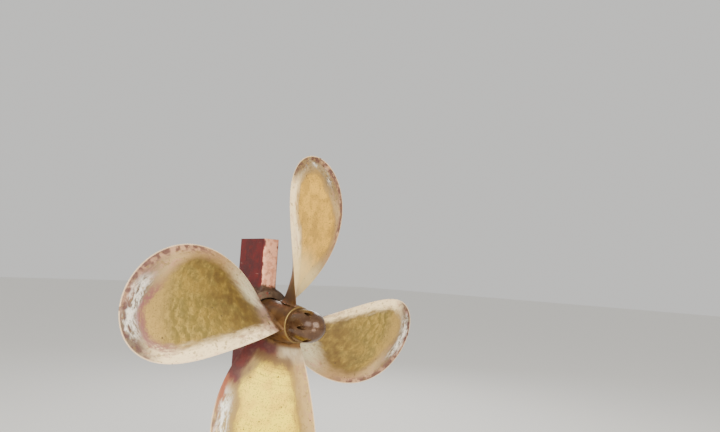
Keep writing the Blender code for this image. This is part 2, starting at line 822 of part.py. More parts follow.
def make_stuffing_box(line, flange_holes):
    start = TUBE_FORWARD + FIT_GAP
    flange_end = start + BOX_FLANGE_THICKNESS
    clear = LINER_RADIUS + SHAFT_CLEAR
    floor = start + BOX_FLOOR
    profile = [
        (clear, start),
        (TUBE_FLANGE_RADIUS, start),
        (TUBE_FLANGE_RADIUS, flange_end),
        (BOX_RADIUS, flange_end),
        (BOX_RADIUS, BOX_FORWARD),
        (BOX_BORE, BOX_FORWARD),
        (BOX_BORE, floor),
        (clear, floor),
    ]
    box = part("stuffing_box", turned("stuffing_box", profile), DULL_BRONZE, line)
    cut(box, flange_holes)
    stud_phase = 0.0
    stud_hole = GLAND_STUD_RADIUS + FIT_GAP
    stud_start = start + STUD_FLOOR
    tapped = bars(
        "stud_holes",
        stud_hole,
        stud_start - FIT_GAP,
        flange_end + CUT_PAST,
        GLAND_STUD_CIRCLE,
        GLAND_STUDS,
        phase=stud_phase,
    )
    cut(box, cutter("stud_holes", tapped, line))
    for i in range(BOX_BOLTS):
        seat = start - FIT_GAP - TUBE_FLANGE_THICKNESS - FIT_GAP
        bolt = hex_bolt(
            f"box_bolt_{i + 1}",
            BOX_BOLT_FLATS,
            BOX_BOLT_HEAD,
            BOX_BOLT_RADIUS,
            flange_end + BOX_BOLT_HEAD + 2 * FIT_GAP + BOX_BOLT_PAST - seat,
            seat,
            nut=(flange_end + FIT_GAP, BOX_BOLT_HEAD),
        )
        spot = on_circle(i, BOX_BOLTS, BOX_BOLT_CIRCLE, pi / BOX_BOLTS)
        part(bolt.name, bolt, STEEL, line).location = spot
    packing_start = floor + FIT_GAP
    for i in range(PACKING_RINGS):
        packing_end = packing_start + PACKING_THICKNESS
        ring = tube_profile(
            LINER_RADIUS + RUNNING_GAP, BOX_BORE - FIT_GAP, packing_start, packing_end
        )
        name = f"gland_packing_{i + 1}"
        part(name, turned(name, ring), PACKING, line)
        packing_start = packing_end + FIT_GAP
    nose = packing_start
    seat = max(BOX_FORWARD + GLAND_GAP, nose + GLAND_NOSE)
    gland_profile = [
        (clear, nose),
        (BOX_BORE - FIT_GAP, nose),
        (BOX_BORE - FIT_GAP, seat),
        (GLAND_FLANGE_RADIUS, seat),
        (GLAND_FLANGE_RADIUS, seat + GLAND_FLANGE_THICKNESS),
        (clear, seat + GLAND_FLANGE_THICKNESS),
    ]
    gland = part("gland_follower", turned("gland_follower", gland_profile), DULL_BRONZE, line)
    gland_end = seat + GLAND_FLANGE_THICKNESS
    through = bars(
        "gland_holes",
        stud_hole,
        seat - CUT_PAST,
        gland_end + CUT_PAST,
        GLAND_STUD_CIRCLE,
        GLAND_STUDS,
        phase=stud_phase,
    )
    cut(gland, cutter("gland_holes", through, line))
    for i in range(GLAND_STUDS):
        nut_start = gland_end + FIT_GAP
        rings = [
            circle(GLAND_STUD_RADIUS, stud_start, 12),
            circle(GLAND_STUD_RADIUS, nut_start, 12),
            hexagon(GLAND_STUD_FLATS, nut_start),
            hexagon(GLAND_STUD_FLATS, nut_start + GLAND_STUD_NUT),
            circle(GLAND_STUD_RADIUS, nut_start + GLAND_STUD_NUT, 12),
            circle(GLAND_STUD_RADIUS, nut_start + GLAND_STUD_NUT + GLAND_STUD_PAST, 12),
        ]
        stud = loft(f"gland_stud_{i + 1}", rings)
        spot = on_circle(i, GLAND_STUDS, GLAND_STUD_CIRCLE, stud_phase)
        part(stud.name, stud, STEEL, line).location = spot


def empty(name, parent=None):
    made = bpy.data.objects.new(name, None)
    PARTS.objects.link(made)
    made.parent = parent
    return made


clear_scene()
PARTS = collection("ship_propeller")
CUTTERS = collection("cutters")
BRONZE = material("propeller bronze", (0.40, 0.26, 0.10), 0.45, 0.9)
DULL_BRONZE = material("dull bronze", (0.22, 0.13, 0.06), 0.5, 0.9)
LINER_BRONZE = material("turned bronze", (0.55, 0.36, 0.15), 0.3, 1.0)
CAP_BROWN = material("cap bronze", (0.12, 0.06, 0.03), 0.3, 0.6)
STEEL = material("shaft steel", (0.45, 0.45, 0.45), 0.35, 1.0)
BOSS_PAINT = material("boss primer", (0.16, 0.08, 0.05), 0.6, 0.0)
RUBBER = material("bearing rubber", (0.02, 0.02, 0.02), 0.8, 0.0)
PACKING = material("gland packing", (0.30, 0.26, 0.18), 0.9, 0.0)

shaft_line = empty("shaft_line")
shaft_line.location = (0.0, -PROPELLER_AFT, -SHAFT_DROP)
shaft_line.rotation_euler = (-pi / 2, 0.0, 0.0)
rotor_axis = empty("rotor_axis", shaft_line)

make_propeller(rotor_axis)
lock_holes = make_shaft(rotor_axis)
make_nut(rotor_axis, lock_holes)
make_cap(rotor_axis)
make_liner(rotor_axis)
tube_holes = make_stern_tube(shaft_line)
make_bearing(shaft_line)
stern_boss = make_boss(shaft_line)
make_rope_guard(shaft_line, stern_boss)
make_stuffing_box(shaft_line, tube_holes)
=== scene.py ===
# %% [markdown]
# # A ship's bronze propeller on its stern gear
#
# The part is a four-bladed propeller, cast in one piece with its hub, on the short length of shaft,
# tube and stern frame that carries it. It has been working in salt water: the middle of each blade is
# golden from the wash, the edges are chalky, the roots are brown, and some paint has drifted onto it.
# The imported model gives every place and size. This script gives each piece its fine shape and finish.

import json
from collections import namedtuple
from math import cos, degrees, pi, radians, sin

import bmesh
import bpy
from mathutils import Matrix, Vector


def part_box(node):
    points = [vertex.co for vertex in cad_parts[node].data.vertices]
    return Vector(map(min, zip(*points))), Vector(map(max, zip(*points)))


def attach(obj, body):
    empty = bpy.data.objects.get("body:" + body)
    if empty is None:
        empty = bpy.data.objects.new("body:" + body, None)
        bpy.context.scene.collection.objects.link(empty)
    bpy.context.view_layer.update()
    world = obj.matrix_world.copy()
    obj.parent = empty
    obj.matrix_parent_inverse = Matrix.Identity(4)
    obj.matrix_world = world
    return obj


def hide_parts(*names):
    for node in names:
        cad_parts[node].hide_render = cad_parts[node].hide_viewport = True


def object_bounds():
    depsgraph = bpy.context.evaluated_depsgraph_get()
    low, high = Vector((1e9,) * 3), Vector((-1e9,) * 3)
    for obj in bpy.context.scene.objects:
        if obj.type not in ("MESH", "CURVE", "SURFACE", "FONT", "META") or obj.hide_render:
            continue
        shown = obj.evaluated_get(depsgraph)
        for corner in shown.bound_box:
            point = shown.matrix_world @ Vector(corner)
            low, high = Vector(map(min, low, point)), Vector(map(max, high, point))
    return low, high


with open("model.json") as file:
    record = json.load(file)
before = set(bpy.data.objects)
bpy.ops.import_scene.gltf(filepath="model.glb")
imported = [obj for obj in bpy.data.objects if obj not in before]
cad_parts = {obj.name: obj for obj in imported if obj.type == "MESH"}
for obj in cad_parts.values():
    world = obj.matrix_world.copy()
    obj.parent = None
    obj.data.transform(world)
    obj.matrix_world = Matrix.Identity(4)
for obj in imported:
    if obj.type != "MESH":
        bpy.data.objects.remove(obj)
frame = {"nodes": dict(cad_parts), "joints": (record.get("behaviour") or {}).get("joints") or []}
CAD_LOW, CAD_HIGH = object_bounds()
AXIS = Vector(frame["joints"][0]["pos_m"])
print("frame:", len(frame["nodes"]), "nodes, shaft axis through", tuple(round(c, 3) for c in AXIS))

# %% [markdown]
# ## Colour and nodes
#
# A paint maker quotes a colour as an sRGB hex value, and Blender's shaders work in linear light, so
# one function turns the first into the second. A second function adds a node of any kind, in a shader
# or in Geometry Nodes: what it is given as an input is linked if it is a node or a socket, and set if
# it is a plain value.


# %% Hex colour to linear
def paint(code):
    """A hex colour as the four linear numbers that a colour socket takes."""
    channels = [int(code[i : i + 2], 16) / 255 for i in (1, 3, 5)]
    return (*[c / 12.92 if c <= 0.04045 else ((c + 0.055) / 1.055) ** 2.4 for c in channels], 1.0)


print("gold of a washed blade in linear light:", [round(c, 3) for c in paint("#b8954f")])


# %% One way to feed and add any node
def feed(tree, node, inputs):
    """Link or set a node's inputs, given in order, or by name in a dictionary."""
    sockets = [socket for socket in node.inputs if socket.enabled]
    named = inputs.items() if isinstance(inputs, dict) else enumerate(inputs)
    for key, value in named:
        if isinstance(key, str):
            socket = next(s for s in sockets if s.name == key)
        else:
            socket = sockets[key]
        if isinstance(value, bpy.types.Node):
            value = next(s for s in value.outputs if s.enabled)
        if isinstance(value, bpy.types.NodeSocket):
            tree.links.new(value, socket)
        else:
            socket.default_value = value


def add(tree, kind, inputs=(), **settings):
    """Add a node with its settings and its inputs."""
    node = tree.nodes.new(kind)
    for name, value in settings.items():
        setattr(node, name, value)
    feed(tree, node, inputs)
    return node


MATH = "ShaderNodeMath"
MAP_RANGE = "ShaderNodeMapRange"
VECTOR_MATH = "ShaderNodeVectorMath"
COMBINE = "ShaderNodeCombineXYZ"
SEPARATE = "ShaderNodeSeparateXYZ"
NOISE = "ShaderNodeTexNoise"
MAPPING = "ShaderNodeMapping"
print("node kinds with a short name:", MATH, MAP_RANGE, VECTOR_MATH, COMBINE, SEPARATE, NOISE, MAPPING)

# %% [markdown]
# ## Camera
#
# The camera stood to port of the propeller and aft of it, with the lens a little above the shaft,
# tipped up by six degrees and leaning by three. These numbers come from fitting a camera to the
# outlines of the three blades that can be seen.

# %% Camera at the photograph's place
EYE_TO_PORT = 1.5916
EYE_AFT = 2.0952
EYE_ABOVE_SHAFT = 0.2689
EYE_YAW = radians(44.0)
EYE_PITCH = radians(6.19)
EYE_ROLL = radians(3.10)
LENS_MM = 26.0
SENSOR_MM = 36.0

camera_data = bpy.data.cameras.new("dock_camera")
camera_data.lens = LENS_MM
camera_data.sensor_width = SENSOR_MM
camera = bpy.data.objects.new("dock_camera", camera_data)
bpy.context.scene.collection.objects.link(camera)
turn = Matrix.Rotation(-EYE_YAW, 4, "Z") @ Matrix.Rotation(pi / 2 + EYE_PITCH, 4, "X")
turn = turn @ Matrix.Rotation(EYE_ROLL, 4, "Z")
eye = AXIS + Vector((-EYE_TO_PORT, -EYE_AFT, EYE_ABOVE_SHAFT))
camera.matrix_world = Matrix.Translation(eye) @ turn
bpy.context.scene.camera = camera
print("camera stands at", tuple(round(c, 2) for c in eye))

# %% [markdown]
# ## Floor and light
#
# The lowest blade tip hangs half a metre over the floor, so the floor only catches a soft shadow. The
# light is what an open sky aft of the propeller would give: one very large, soft source behind the
# camera and to its right, and a weaker one from port. A small warm one low down stands for what pale
# ground throws back, one on the far side lights the rims, and the surround is even and pale.

# %% Floor
FLOOR_BELOW_TIP = 0.50
FLOOR_HALF = 40.0
FLOOR_COLOUR = "#efede8"
FLOOR_ROUGHNESS = 0.9


def new_object(name, bm):
    """An object in the scene from a worked mesh, which is used up."""
    mesh = bpy.data.meshes.new(name)
    bm.to_mesh(mesh)
    bm.free()
    made = bpy.data.objects.new(name, mesh)
    bpy.context.scene.collection.objects.link(made)
    return made


floor_height = CAD_LOW.z - FLOOR_BELOW_TIP
bm = bmesh.new()
bmesh.ops.create_grid(bm, x_segments=1, y_segments=1, size=FLOOR_HALF)
bmesh.ops.translate(bm, vec=(0, 0, floor_height), verts=bm.verts)
floor = new_object("dock_floor", bm)
floor_finish = bpy.data.materials.new("pale studio floor")
floor_finish.use_nodes = True
floor_tree = floor_finish.node_tree
floor_look = {"Base Color": paint(FLOOR_COLOUR), "Roughness": FLOOR_ROUGHNESS}
feed(floor_tree, floor_tree.nodes["Principled BSDF"], floor_look)
floor.data.materials.append(floor_finish)
print("floor at", round(floor_height, 3))

# %% Soft light: square sources that face the shaft's axis
Lamp = namedtuple("Lamp", "place side watts tint")
LAMPS = {
    "sky_aft": Lamp((-1.3, -4.8, 2.7), 4.5, 500, "#fffaf0"),
    "ground_bounce": Lamp((-1.9, -2.9, -0.85), 1.5, 55, "#fff0da"),
    "sky_port": Lamp((-4.5, -1.5, 2.6), 3.0, 130, "#f4f8ff"),
    "sky_starboard_forward": Lamp((3.5, 3.5, 2.8), 3.0, 120, "#ffffff"),
}
SURROUND_COLOUR = "#f1f0ed"
SURROUND_STRENGTH = 0.85

for name, lamp in LAMPS.items():
    light = bpy.data.lights.new(name, "AREA")
    light.shape = "SQUARE"
    light.size = lamp.side
    light.energy = lamp.watts
    light.color = paint(lamp.tint)[:3]
    stand = bpy.data.objects.new(name, light)
    bpy.context.scene.collection.objects.link(stand)
    stand.location = AXIS + Vector(lamp.place)
    stand.rotation_euler = (-Vector(lamp.place)).to_track_quat("-Z", "Y").to_euler()

world = bpy.data.worlds.new("pale surround")
bpy.context.scene.world = world
world.use_nodes = True
surround = {"Color": paint(SURROUND_COLOUR), "Strength": SURROUND_STRENGTH}
feed(world.node_tree, world.node_tree.nodes["Background"], surround)
print("soft sources:", ", ".join(LAMPS))

# %% [markdown]
# ## Turned shapes
#
# Most of the gear was made on a lathe. An outline of (radius, distance forward) points is run round
# the shaft's axis. A lathe hand breaks every corner with a file, so each corner of the outline is
# first eased by a small curve: without it an edge would not catch the light.

# %% Outline easing
ROUND_STEPS = 144
HARDLY = 1e-6
MOST_OF_A_SIDE = 0.45


def eased(outline, easing, steps=3):
    """A closed outline with each corner drawn as a small curve, no longer than half its sides."""
    points = []
    count = len(outline)
    for i in range(count):
        before, corner, after = (Vector(outline[(i + k) % count]) for k in (-1, 0, 1))
        into = before - corner
        out = after - corner
        if corner.x < HARDLY or into.length < HARDLY or out.length < HARDLY:
            points.append(tuple(corner))
            continue
        reach_in = into.normalized() * min(easing, MOST_OF_A_SIDE * into.length)
        reach_out = out.normalized() * min(easing, MOST_OF_A_SIDE * out.length)
        for k in range(steps + 1):
            t = k / steps
            spot = corner + reach_in * (1 - t) ** 2 + reach_out * t**2
            points.append((max(spot.x, 0.0), spot.y))
    return points


print("a square with eased corners has", len(eased([(1, 0), (2, 0), (2, 1), (1, 1)], 0.1)), "points")


# %% Turning
def turned(name, outline):
    """A closed body turned about the shaft's axis from (radius, distance forward of the blades)."""
    bm = bmesh.new()
    loops = []
    for i in range(ROUND_STEPS):
        angle = 2 * pi * i / ROUND_STEPS
        places = [AXIS + Vector((r * sin(angle), forward, r * cos(angle))) for r, forward in outline]
        loops.append([bm.verts.new(place) for place in places])
    for here, beyond in zip(loops, loops[1:] + loops[:1]):
        for k in range(len(outline)):
            m = (k + 1) % len(outline)
            bm.faces.new((here[k], beyond[k], beyond[m], here[m]))
    bmesh.ops.remove_doubles(bm, verts=bm.verts, dist=HARDLY)
    bmesh.ops.recalc_face_normals(bm, faces=bm.faces)
    return new_object(name, bm)


# %% Cutting and finishing
SHARP = radians(35.0)
print("an edge stays sharp over", round(degrees(SHARP)), "degrees")


def settle(obj):
    """Bake an object's modifiers into its mesh, and mark its hard edges."""
    graph = bpy.context.evaluated_depsgraph_get()
    mesh = bpy.data.meshes.new_from_object(
        obj.evaluated_get(graph), preserve_all_data_layers=True, depsgraph=graph
    )
    obj.modifiers.clear()
    old = obj.data
    obj.data = mesh
    bpy.data.meshes.remove(old)
    mesh.name = obj.name
    mesh.shade_smooth()
    mesh.set_sharp_from_angle(angle=SHARP)
    return obj


def carve(obj, *tools):
    """Cut an object by others, which are used up."""
    for tool in tools:
        step = obj.modifiers.new(tool.name, "BOOLEAN")
        step.operation = "DIFFERENCE"
        step.object = tool
        step.solver = "EXACT"
    settle(obj)
    for tool in tools:
        bpy.data.objects.remove(tool, do_unlink=True)
    return obj


# %% Cutters: a box between two corners, and round rods on a ring round the shaft
Ring = namedtuple("Ring", "count radius phase")
ON_AXIS = Ring(1, 0.0, 0.0)
print("one rod on the shaft's axis:", ON_AXIS)


def block(name, low, high):
    bm = bmesh.new()
    bmesh.ops.create_cube(bm, size=1.0)
    bmesh.ops.scale(bm, vec=high - low, verts=bm.verts)
    bmesh.ops.translate(bm, vec=(low + high) / 2, verts=bm.verts)
    return new_object(name, bm)


def rods(name, radius, start, end, ring, steps=32):
    bm = bmesh.new()
    for i in range(ring.count):
        angle = ring.phase + 2 * pi * i / ring.count
        offset = Vector((ring.radius * cos(angle), (start + end) / 2, -ring.radius * sin(angle)))
        spot = Matrix.Translation(AXIS + offset) @ Matrix.Rotation(pi / 2, 4, "X")
        ends = {"radius1": radius, "radius2": radius, "depth": end - start}
        bmesh.ops.create_cone(bm, cap_ends=True, segments=steps, matrix=spot, **ends)
    return new_object(name, bm)


# %% Places read from the frame
def along_shaft(node):
    """Where a node starts and ends along the shaft, measured forward from the blades' plane."""
    low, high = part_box(node)
    return low.y - AXIS.y, high.y - AXIS.y


def outer_radius(node):
    low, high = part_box(node)
    return max(high.x - AXIS.x, AXIS.x - low.x, high.z - AXIS.z, AXIS.z - low.z)


FIT_GAP = 0.0003
HUB_AFT = along_shaft("boss_cap")[1] + FIT_GAP
HUB_FORWARD = along_shaft("hub_seal_ring")[0] - FIT_GAP
print("hub runs from", round(HUB_AFT, 4), "to", round(HUB_FORWARD, 4))

# %% [markdown]
# ## The propeller
#
# A blade is a screw surface. Cut it with a cylinder round the shaft and the cut, rolled out flat, is a
# thin aerofoil lying along a helix. Its width, thickness, sweep and rake follow simple laws of the
# radius, so the shape is a formula and Geometry Nodes can draw it: a flat grid is laid out, one way
# for the stations from root to tip, the other way for the points round each section, and every grid
# point is moved to where the laws say. Change an input and all four blades follow. Modelling one blade
# by hand and copying it would look the same, but could not be changed afterwards.
#
# The tree then thickens the root where it comes near the hub, as the foundry's fillet does, stands
# four blades round the axis and joins them with the hub into one skin.

# %% Sizes of the casting
HUB_AFT_RADIUS = 0.087
HUB_MIDDLE_RADIUS = 0.100
HUB_FORWARD_RADIUS = 0.1065
HUB_EDGE = 0.004
HUB_STEPS = 24
SHAFT_RADIUS = 0.055
TAPER = 1.0 / 12.0

BLADE_SIZES = {
    "Blades": 4,
    "Stations": 96,
    "Section Points": 77,
    "Root": 0.081,
    "Hub Radius": HUB_MIDDLE_RADIUS,
    "Radius": 0.85,
    "Pitch": 1.281,
    "Rake Slope": 0.128,
    "Ahead": 0.068,
    "Root Chord": 0.246,
    "Full Chord": 0.641,
    "Full Chord At": 0.891,
    "Tip Power": 5.7,
    "Root Thickness": 0.052,
    "Tip Thickness": 0.007,
    "Tip Thin": 0.35,
    "Tip Thin Over": 0.25,
    "Tip Rounding": 0.020,
    "Face Hollow": 0.10,
    "Rest Turn": radians(5.7),
    "Sweep": radians(14.4),
    "Sweep Power": 1.6,
    "Fillet": 0.020,
    "Hand Work": 0.0007,
    "Hand Work Size": 0.085,
}
print("blades of", BLADE_SIZES["Radius"], "m radius and", BLADE_SIZES["Pitch"], "m pitch")


# %% The hub, turned and bored
def hub_radius(forward):
    share = (forward - HUB_AFT) / (HUB_FORWARD - HUB_AFT)
    end_radius = HUB_AFT_RADIUS if share < 0.5 else HUB_FORWARD_RADIUS
    return HUB_MIDDLE_RADIUS - (HUB_MIDDLE_RADIUS - end_radius) * (2 * share - 1) ** 2


def bore_radius(forward):
    return SHAFT_RADIUS - (HUB_FORWARD - forward) * TAPER / 2 + FIT_GAP


def hub_outline():
    """A barrel with eased rims, and the tapered bore that the shaft sits in."""
    rims = [(HUB_AFT_RADIUS, HUB_AFT), (HUB_FORWARD_RADIUS, HUB_FORWARD)]
    corners = [(bore_radius(HUB_AFT), HUB_AFT), *rims, (bore_radius(HUB_FORWARD), HUB_FORWARD)]
    outline = eased(corners, HUB_EDGE)
    barrel = []
    for i in range(1, HUB_STEPS):
        forward = HUB_AFT + (HUB_FORWARD - HUB_AFT) * i / HUB_STEPS
        barrel.append((hub_radius(forward), forward))
    split = len(outline) // 2
    return outline[:split] + barrel + outline[split:]


KEY_LOW, KEY_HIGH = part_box("propeller_key")
KEY_ROOM = Vector((FIT_GAP, FIT_GAP, FIT_GAP))


def keyway():
    """The keyway's cutter: the key's own box with a hair of room."""
    return block("keyway", KEY_LOW - KEY_ROOM, KEY_HIGH + KEY_ROOM)


CAP_BOLT_RING = Ring(6, 0.0685, 0.0)
CAP_BOLT_RADIUS = 0.004
CAP_BOLT_DEPTH = 0.024

hub = turned("hub", hub_outline())
bolt_hole = (CAP_BOLT_RADIUS + FIT_GAP, HUB_AFT - CAP_BOLT_DEPTH, HUB_AFT + CAP_BOLT_DEPTH)
carve(hub, keyway(), rods("cap_bolt_holes", *bolt_hole, CAP_BOLT_RING))
print("hub drawn with", len(hub.data.polygons), "faces")


# %% A tree with named inputs
def new_tree(name, sizes):
    """A Geometry Nodes tree: geometry goes in and out, and the axis and each size are inputs by name."""
    tree = bpy.data.node_groups.new(name, "GeometryNodeTree")
    face = tree.interface
    face.new_socket("Geometry", in_out="INPUT", socket_type="NodeSocketGeometry")
    face.new_socket("Finish", in_out="INPUT", socket_type="NodeSocketMaterial")
    face.new_socket("Geometry", in_out="OUTPUT", socket_type="NodeSocketGeometry")
    for label, size in sizes.items():
        kind = "NodeSocketInt" if isinstance(size, int) else "NodeSocketFloat"
        face.new_socket(label, in_out="INPUT", socket_type=kind)
    face.new_socket("Axis", in_out="INPUT", socket_type="NodeSocketVector")
    start = tree.nodes.new("NodeGroupInput")
    end = tree.nodes.new("NodeGroupOutput")
    return tree, {socket.name: socket for socket in start.outputs if socket.name}, end


def grow(obj, tree, sizes, finish):
    """Run a tree on an object, bake what it makes into the mesh and take the modifier off again."""
    step = obj.modifiers.new(tree.name, "NODES")
    step.node_group = tree
    values = dict(sizes, Axis=tuple(AXIS), Finish=finish)
    for item in tree.interface.items_tree:
        if item.item_type == "SOCKET" and item.in_out == "INPUT" and item.name in values:
            step[item.identifier] = values[item.name]
    return settle(obj)


# %% Where each grid point stands on the blade
law, given, law_end = new_tree("blade by its law", BLADE_SIZES)

GRID = {
    "Size X": 1.0,
    "Size Y": 1.0,
    "Vertices X": given["Stations"],
    "Vertices Y": given["Section Points"],
}
sheet = add(law, "GeometryNodeMeshGrid", GRID)
shares = add(law, SEPARATE, (add(law, "GeometryNodeInputPosition"),))
span = add(law, MATH, (shares.outputs["X"], 0.5), operation="ADD")
round_angle = add(law, MATH, (shares.outputs["Y"], 2 * pi, pi), operation="MULTIPLY_ADD")
station = add(law, MATH, (round_angle,), operation="COSINE")
rise = add(law, MATH, (round_angle,), operation="SINE")

# The stations crowd together at the root, for the fillet, and at the tip, for its round edge
swing = add(law, MATH, (add(law, MATH, (span, pi), operation="MULTIPLY"),), operation="COSINE")
reach = add(law, MAP_RANGE, (swing, 1.0, -1.0, given["Root"], given["Radius"]))
ratio = add(law, MATH, (reach, given["Radius"]), operation="DIVIDE")
print("a grid of", BLADE_SIZES["Stations"], "stations with", BLADE_SIZES["Section Points"], "points")

# %% Width: it grows as a sine from the root, and the rounded tip draws it in
share = add(law, MAP_RANGE, (reach, given["Hub Radius"], given["Full Chord At"], 0.0, pi / 2))
grown = add(law, MATH, (share,), operation="SINE")
fullest = add(law, MAP_RANGE, (grown, 0.0, 1.0, given["Root Chord"], given["Full Chord"]))
power = add(law, MATH, (ratio, given["Tip Power"]), operation="POWER")
left_over = add(law, MATH, (1.0, power), operation="SUBTRACT", use_clamp=True)
drawn = add(law, MATH, (left_over,), operation="SQRT")
chord = add(law, MATH, (fullest, drawn), operation="MULTIPLY")
half = add(law, MATH, (chord, 0.5), operation="MULTIPLY")
along = add(law, MATH, (station, half), operation="MULTIPLY")
print("full chord", BLADE_SIZES["Full Chord"], "m, before the tip is drawn in")

# %% Thickness: thick at the root, thin at the tip, with a round nose at every edge
NOSE_SHARE = 0.28
from_root_to_tip = (given["Hub Radius"], given["Radius"], given["Root Thickness"], given["Tip Thickness"])
straight = add(law, MAP_RANGE, (reach, *from_root_to_tip), clamp=False)
thin = add(law, MATH, (half, given["Tip Thin Over"]), operation="DIVIDE")
thin = add(law, MATH, (thin, given["Tip Thin"]), operation="ADD", use_clamp=True)
tip_share = add(law, MATH, (half, given["Tip Rounding"]), operation="DIVIDE", use_clamp=True)
tip_round = add(law, MATH, (tip_share,), operation="SQRT")
deep = add(law, MATH, (straight, thin), operation="MULTIPLY")
deep = add(law, MATH, (deep, tip_round), operation="MULTIPLY")
steep = add(law, MATH, (rise,), operation="ABSOLUTE")
crown = add(law, MATH, (rise, rise), operation="MULTIPLY")
crown = add(law, MATH, (crown, 1 - NOSE_SHARE), operation="MULTIPLY")
bulge = add(law, MATH, (steep, NOSE_SHARE, crown), operation="MULTIPLY_ADD")
arch = add(law, MATH, (deep, bulge), operation="MULTIPLY")
is_back = add(law, MATH, (rise, 0.0), operation="GREATER_THAN")
face_side = add(law, MATH, (given["Face Hollow"], -1.0), operation="MULTIPLY")
side = add(law, MAP_RANGE, {"Value": is_back, "To Min": face_side, "To Max": 1.0})
across = add(law, MATH, (arch, side), operation="MULTIPLY")
print("thickness from", BLADE_SIZES["Root Thickness"], "to", BLADE_SIZES["Tip Thickness"], "m")

# %% The first station is drawn to a point, which closes the root inside the hub
FIRST_STATION = 1e-5
open_root = add(law, MATH, (span, FIRST_STATION), operation="GREATER_THAN")
along = add(law, MATH, (along, open_root), operation="MULTIPLY")
across = add(law, MATH, (across, open_root), operation="MULTIPLY")
print("a section takes", len(law.nodes), "nodes so far")

# %% Twist, sweep and rake lay the section on its helix
round_once = add(law, MATH, (reach, 2 * pi), operation="MULTIPLY")
slope = add(law, MATH, (given["Pitch"], round_once), operation="ARCTAN2")
slope_cos = add(law, MATH, (slope,), operation="COSINE")
slope_sin = add(law, MATH, (slope,), operation="SINE")
swept = add(law, MATH, (ratio, given["Sweep Power"]), operation="POWER")
swept = add(law, MATH, (1.0, swept), operation="SUBTRACT")
swept = add(law, MATH, (swept, given["Sweep"]), operation="MULTIPLY")
round_way = add(law, MATH, (along, slope_cos), operation="MULTIPLY")
lean = add(law, MATH, (across, slope_sin), operation="MULTIPLY")
round_way = add(law, MATH, (round_way, lean), operation="SUBTRACT")
turn_to = add(law, MATH, (round_way, reach), operation="DIVIDE")
turn_to = add(law, MATH, (turn_to, swept), operation="ADD")
raked = add(law, MATH, (reach, given["Rake Slope"]), operation="MULTIPLY")
forward = add(law, MATH, (given["Ahead"], raked), operation="SUBTRACT")
forward = add(law, MATH, (along, slope_sin, forward), operation="MULTIPLY_ADD")
forward = add(law, MATH, (across, slope_cos, forward), operation="MULTIPLY_ADD")
sideways = add(law, MATH, (turn_to,), operation="SINE")
sideways = add(law, MATH, (reach, sideways), operation="MULTIPLY")
upward = add(law, MATH, (turn_to,), operation="COSINE")
upward = add(law, MATH, (reach, upward), operation="MULTIPLY")
spot = add(law, COMBINE, (sideways, forward, upward))
print("the tip trails the root by", round(degrees(BLADE_SIZES["Sweep"]), 1), "degrees")

# %% The grid is moved, with what the finish will need kept on it
STORE = "GeometryNodeStoreNamedAttribute"
A_NUMBER = {"data_type": "FLOAT", "domain": "POINT"}
A_MAP = {"data_type": "FLOAT2", "domain": "CORNER"}
kept = {}
for label in ("station", "rise", "along", "reach", "from_edge"):
    kept[label] = add(law, "GeometryNodeInputNamedAttribute", {"Name": label}, data_type="FLOAT")

blade = sheet
for label, field in (("station", station), ("rise", rise), ("along", along), ("reach", reach)):
    blade = add(law, STORE, {"Geometry": blade, "Name": label, "Value": field}, **A_NUMBER)
blade = add(law, "GeometryNodeSetPosition", {"Geometry": blade, "Position": spot})
blade = add(law, "GeometryNodeMergeByDistance", {"Geometry": blade, "Distance": HARDLY})
blade = add(law, "GeometryNodeFlipFaces", {"Mesh": blade})
print("kept on the blade:", ", ".join(kept))

# %% How far each point lies from the blade's outline, measured in metres
OUTERMOST_STATION = 0.99999
at_edge = add(law, MATH, (kept["station"],), operation="ABSOLUTE")
at_edge = add(law, MATH, (at_edge, OUTERMOST_STATION), operation="GREATER_THAN")
outline = {"Geometry": blade, "Selection": at_edge}
rim = add(law, "GeometryNodeSeparateGeometry", outline, domain="POINT")
to_rim = add(law, "GeometryNodeProximity", (rim,), target_element="EDGES").outputs["Distance"]
blade = add(law, STORE, {"Geometry": blade, "Name": "from_edge", "Value": to_rim}, **A_NUMBER)
print("with the distance from the edge:", len(law.nodes), "nodes")

# %% The root's fillet, as deep as the hub is near
THIN_EDGE_FILLET = 0.15
to_origin = add(law, VECTOR_MATH, {"Vector": given["Axis"], "Scale": -1.0}, operation="SCALE")
hub_moved = {"Geometry": given["Geometry"], "Translation": to_origin}
hub_here = add(law, "GeometryNodeTransform", hub_moved)
to_hub = add(law, "GeometryNodeProximity", (hub_here,), target_element="FACES").outputs["Distance"]
below_top = add(law, MATH, (given["Fillet"], to_hub), operation="SUBTRACT")
below_top = add(law, MATH, (below_top, 0.0), operation="MAXIMUM")
fillet_square = add(law, MATH, (given["Fillet"], given["Fillet"]), operation="MULTIPLY")
below_square = add(law, MATH, (below_top, below_top), operation="MULTIPLY")
chord_square = add(law, MATH, (fillet_square, below_square), operation="SUBTRACT")
chord_square = add(law, MATH, (chord_square, 0.0), operation="MAXIMUM")
hollow = add(law, MATH, (chord_square,), operation="SQRT")
fillet = add(law, MATH, (given["Fillet"], hollow), operation="SUBTRACT")
steepness = add(law, MATH, (kept["rise"],), operation="ABSOLUTE")
edge_share = add(law, MAP_RANGE, {"Value": steepness, "To Min": THIN_EDGE_FILLET, "To Max": 1.0})
fillet = add(law, MATH, (fillet, edge_share), operation="MULTIPLY")
print("fillet radius", BLADE_SIZES["Fillet"], "m")

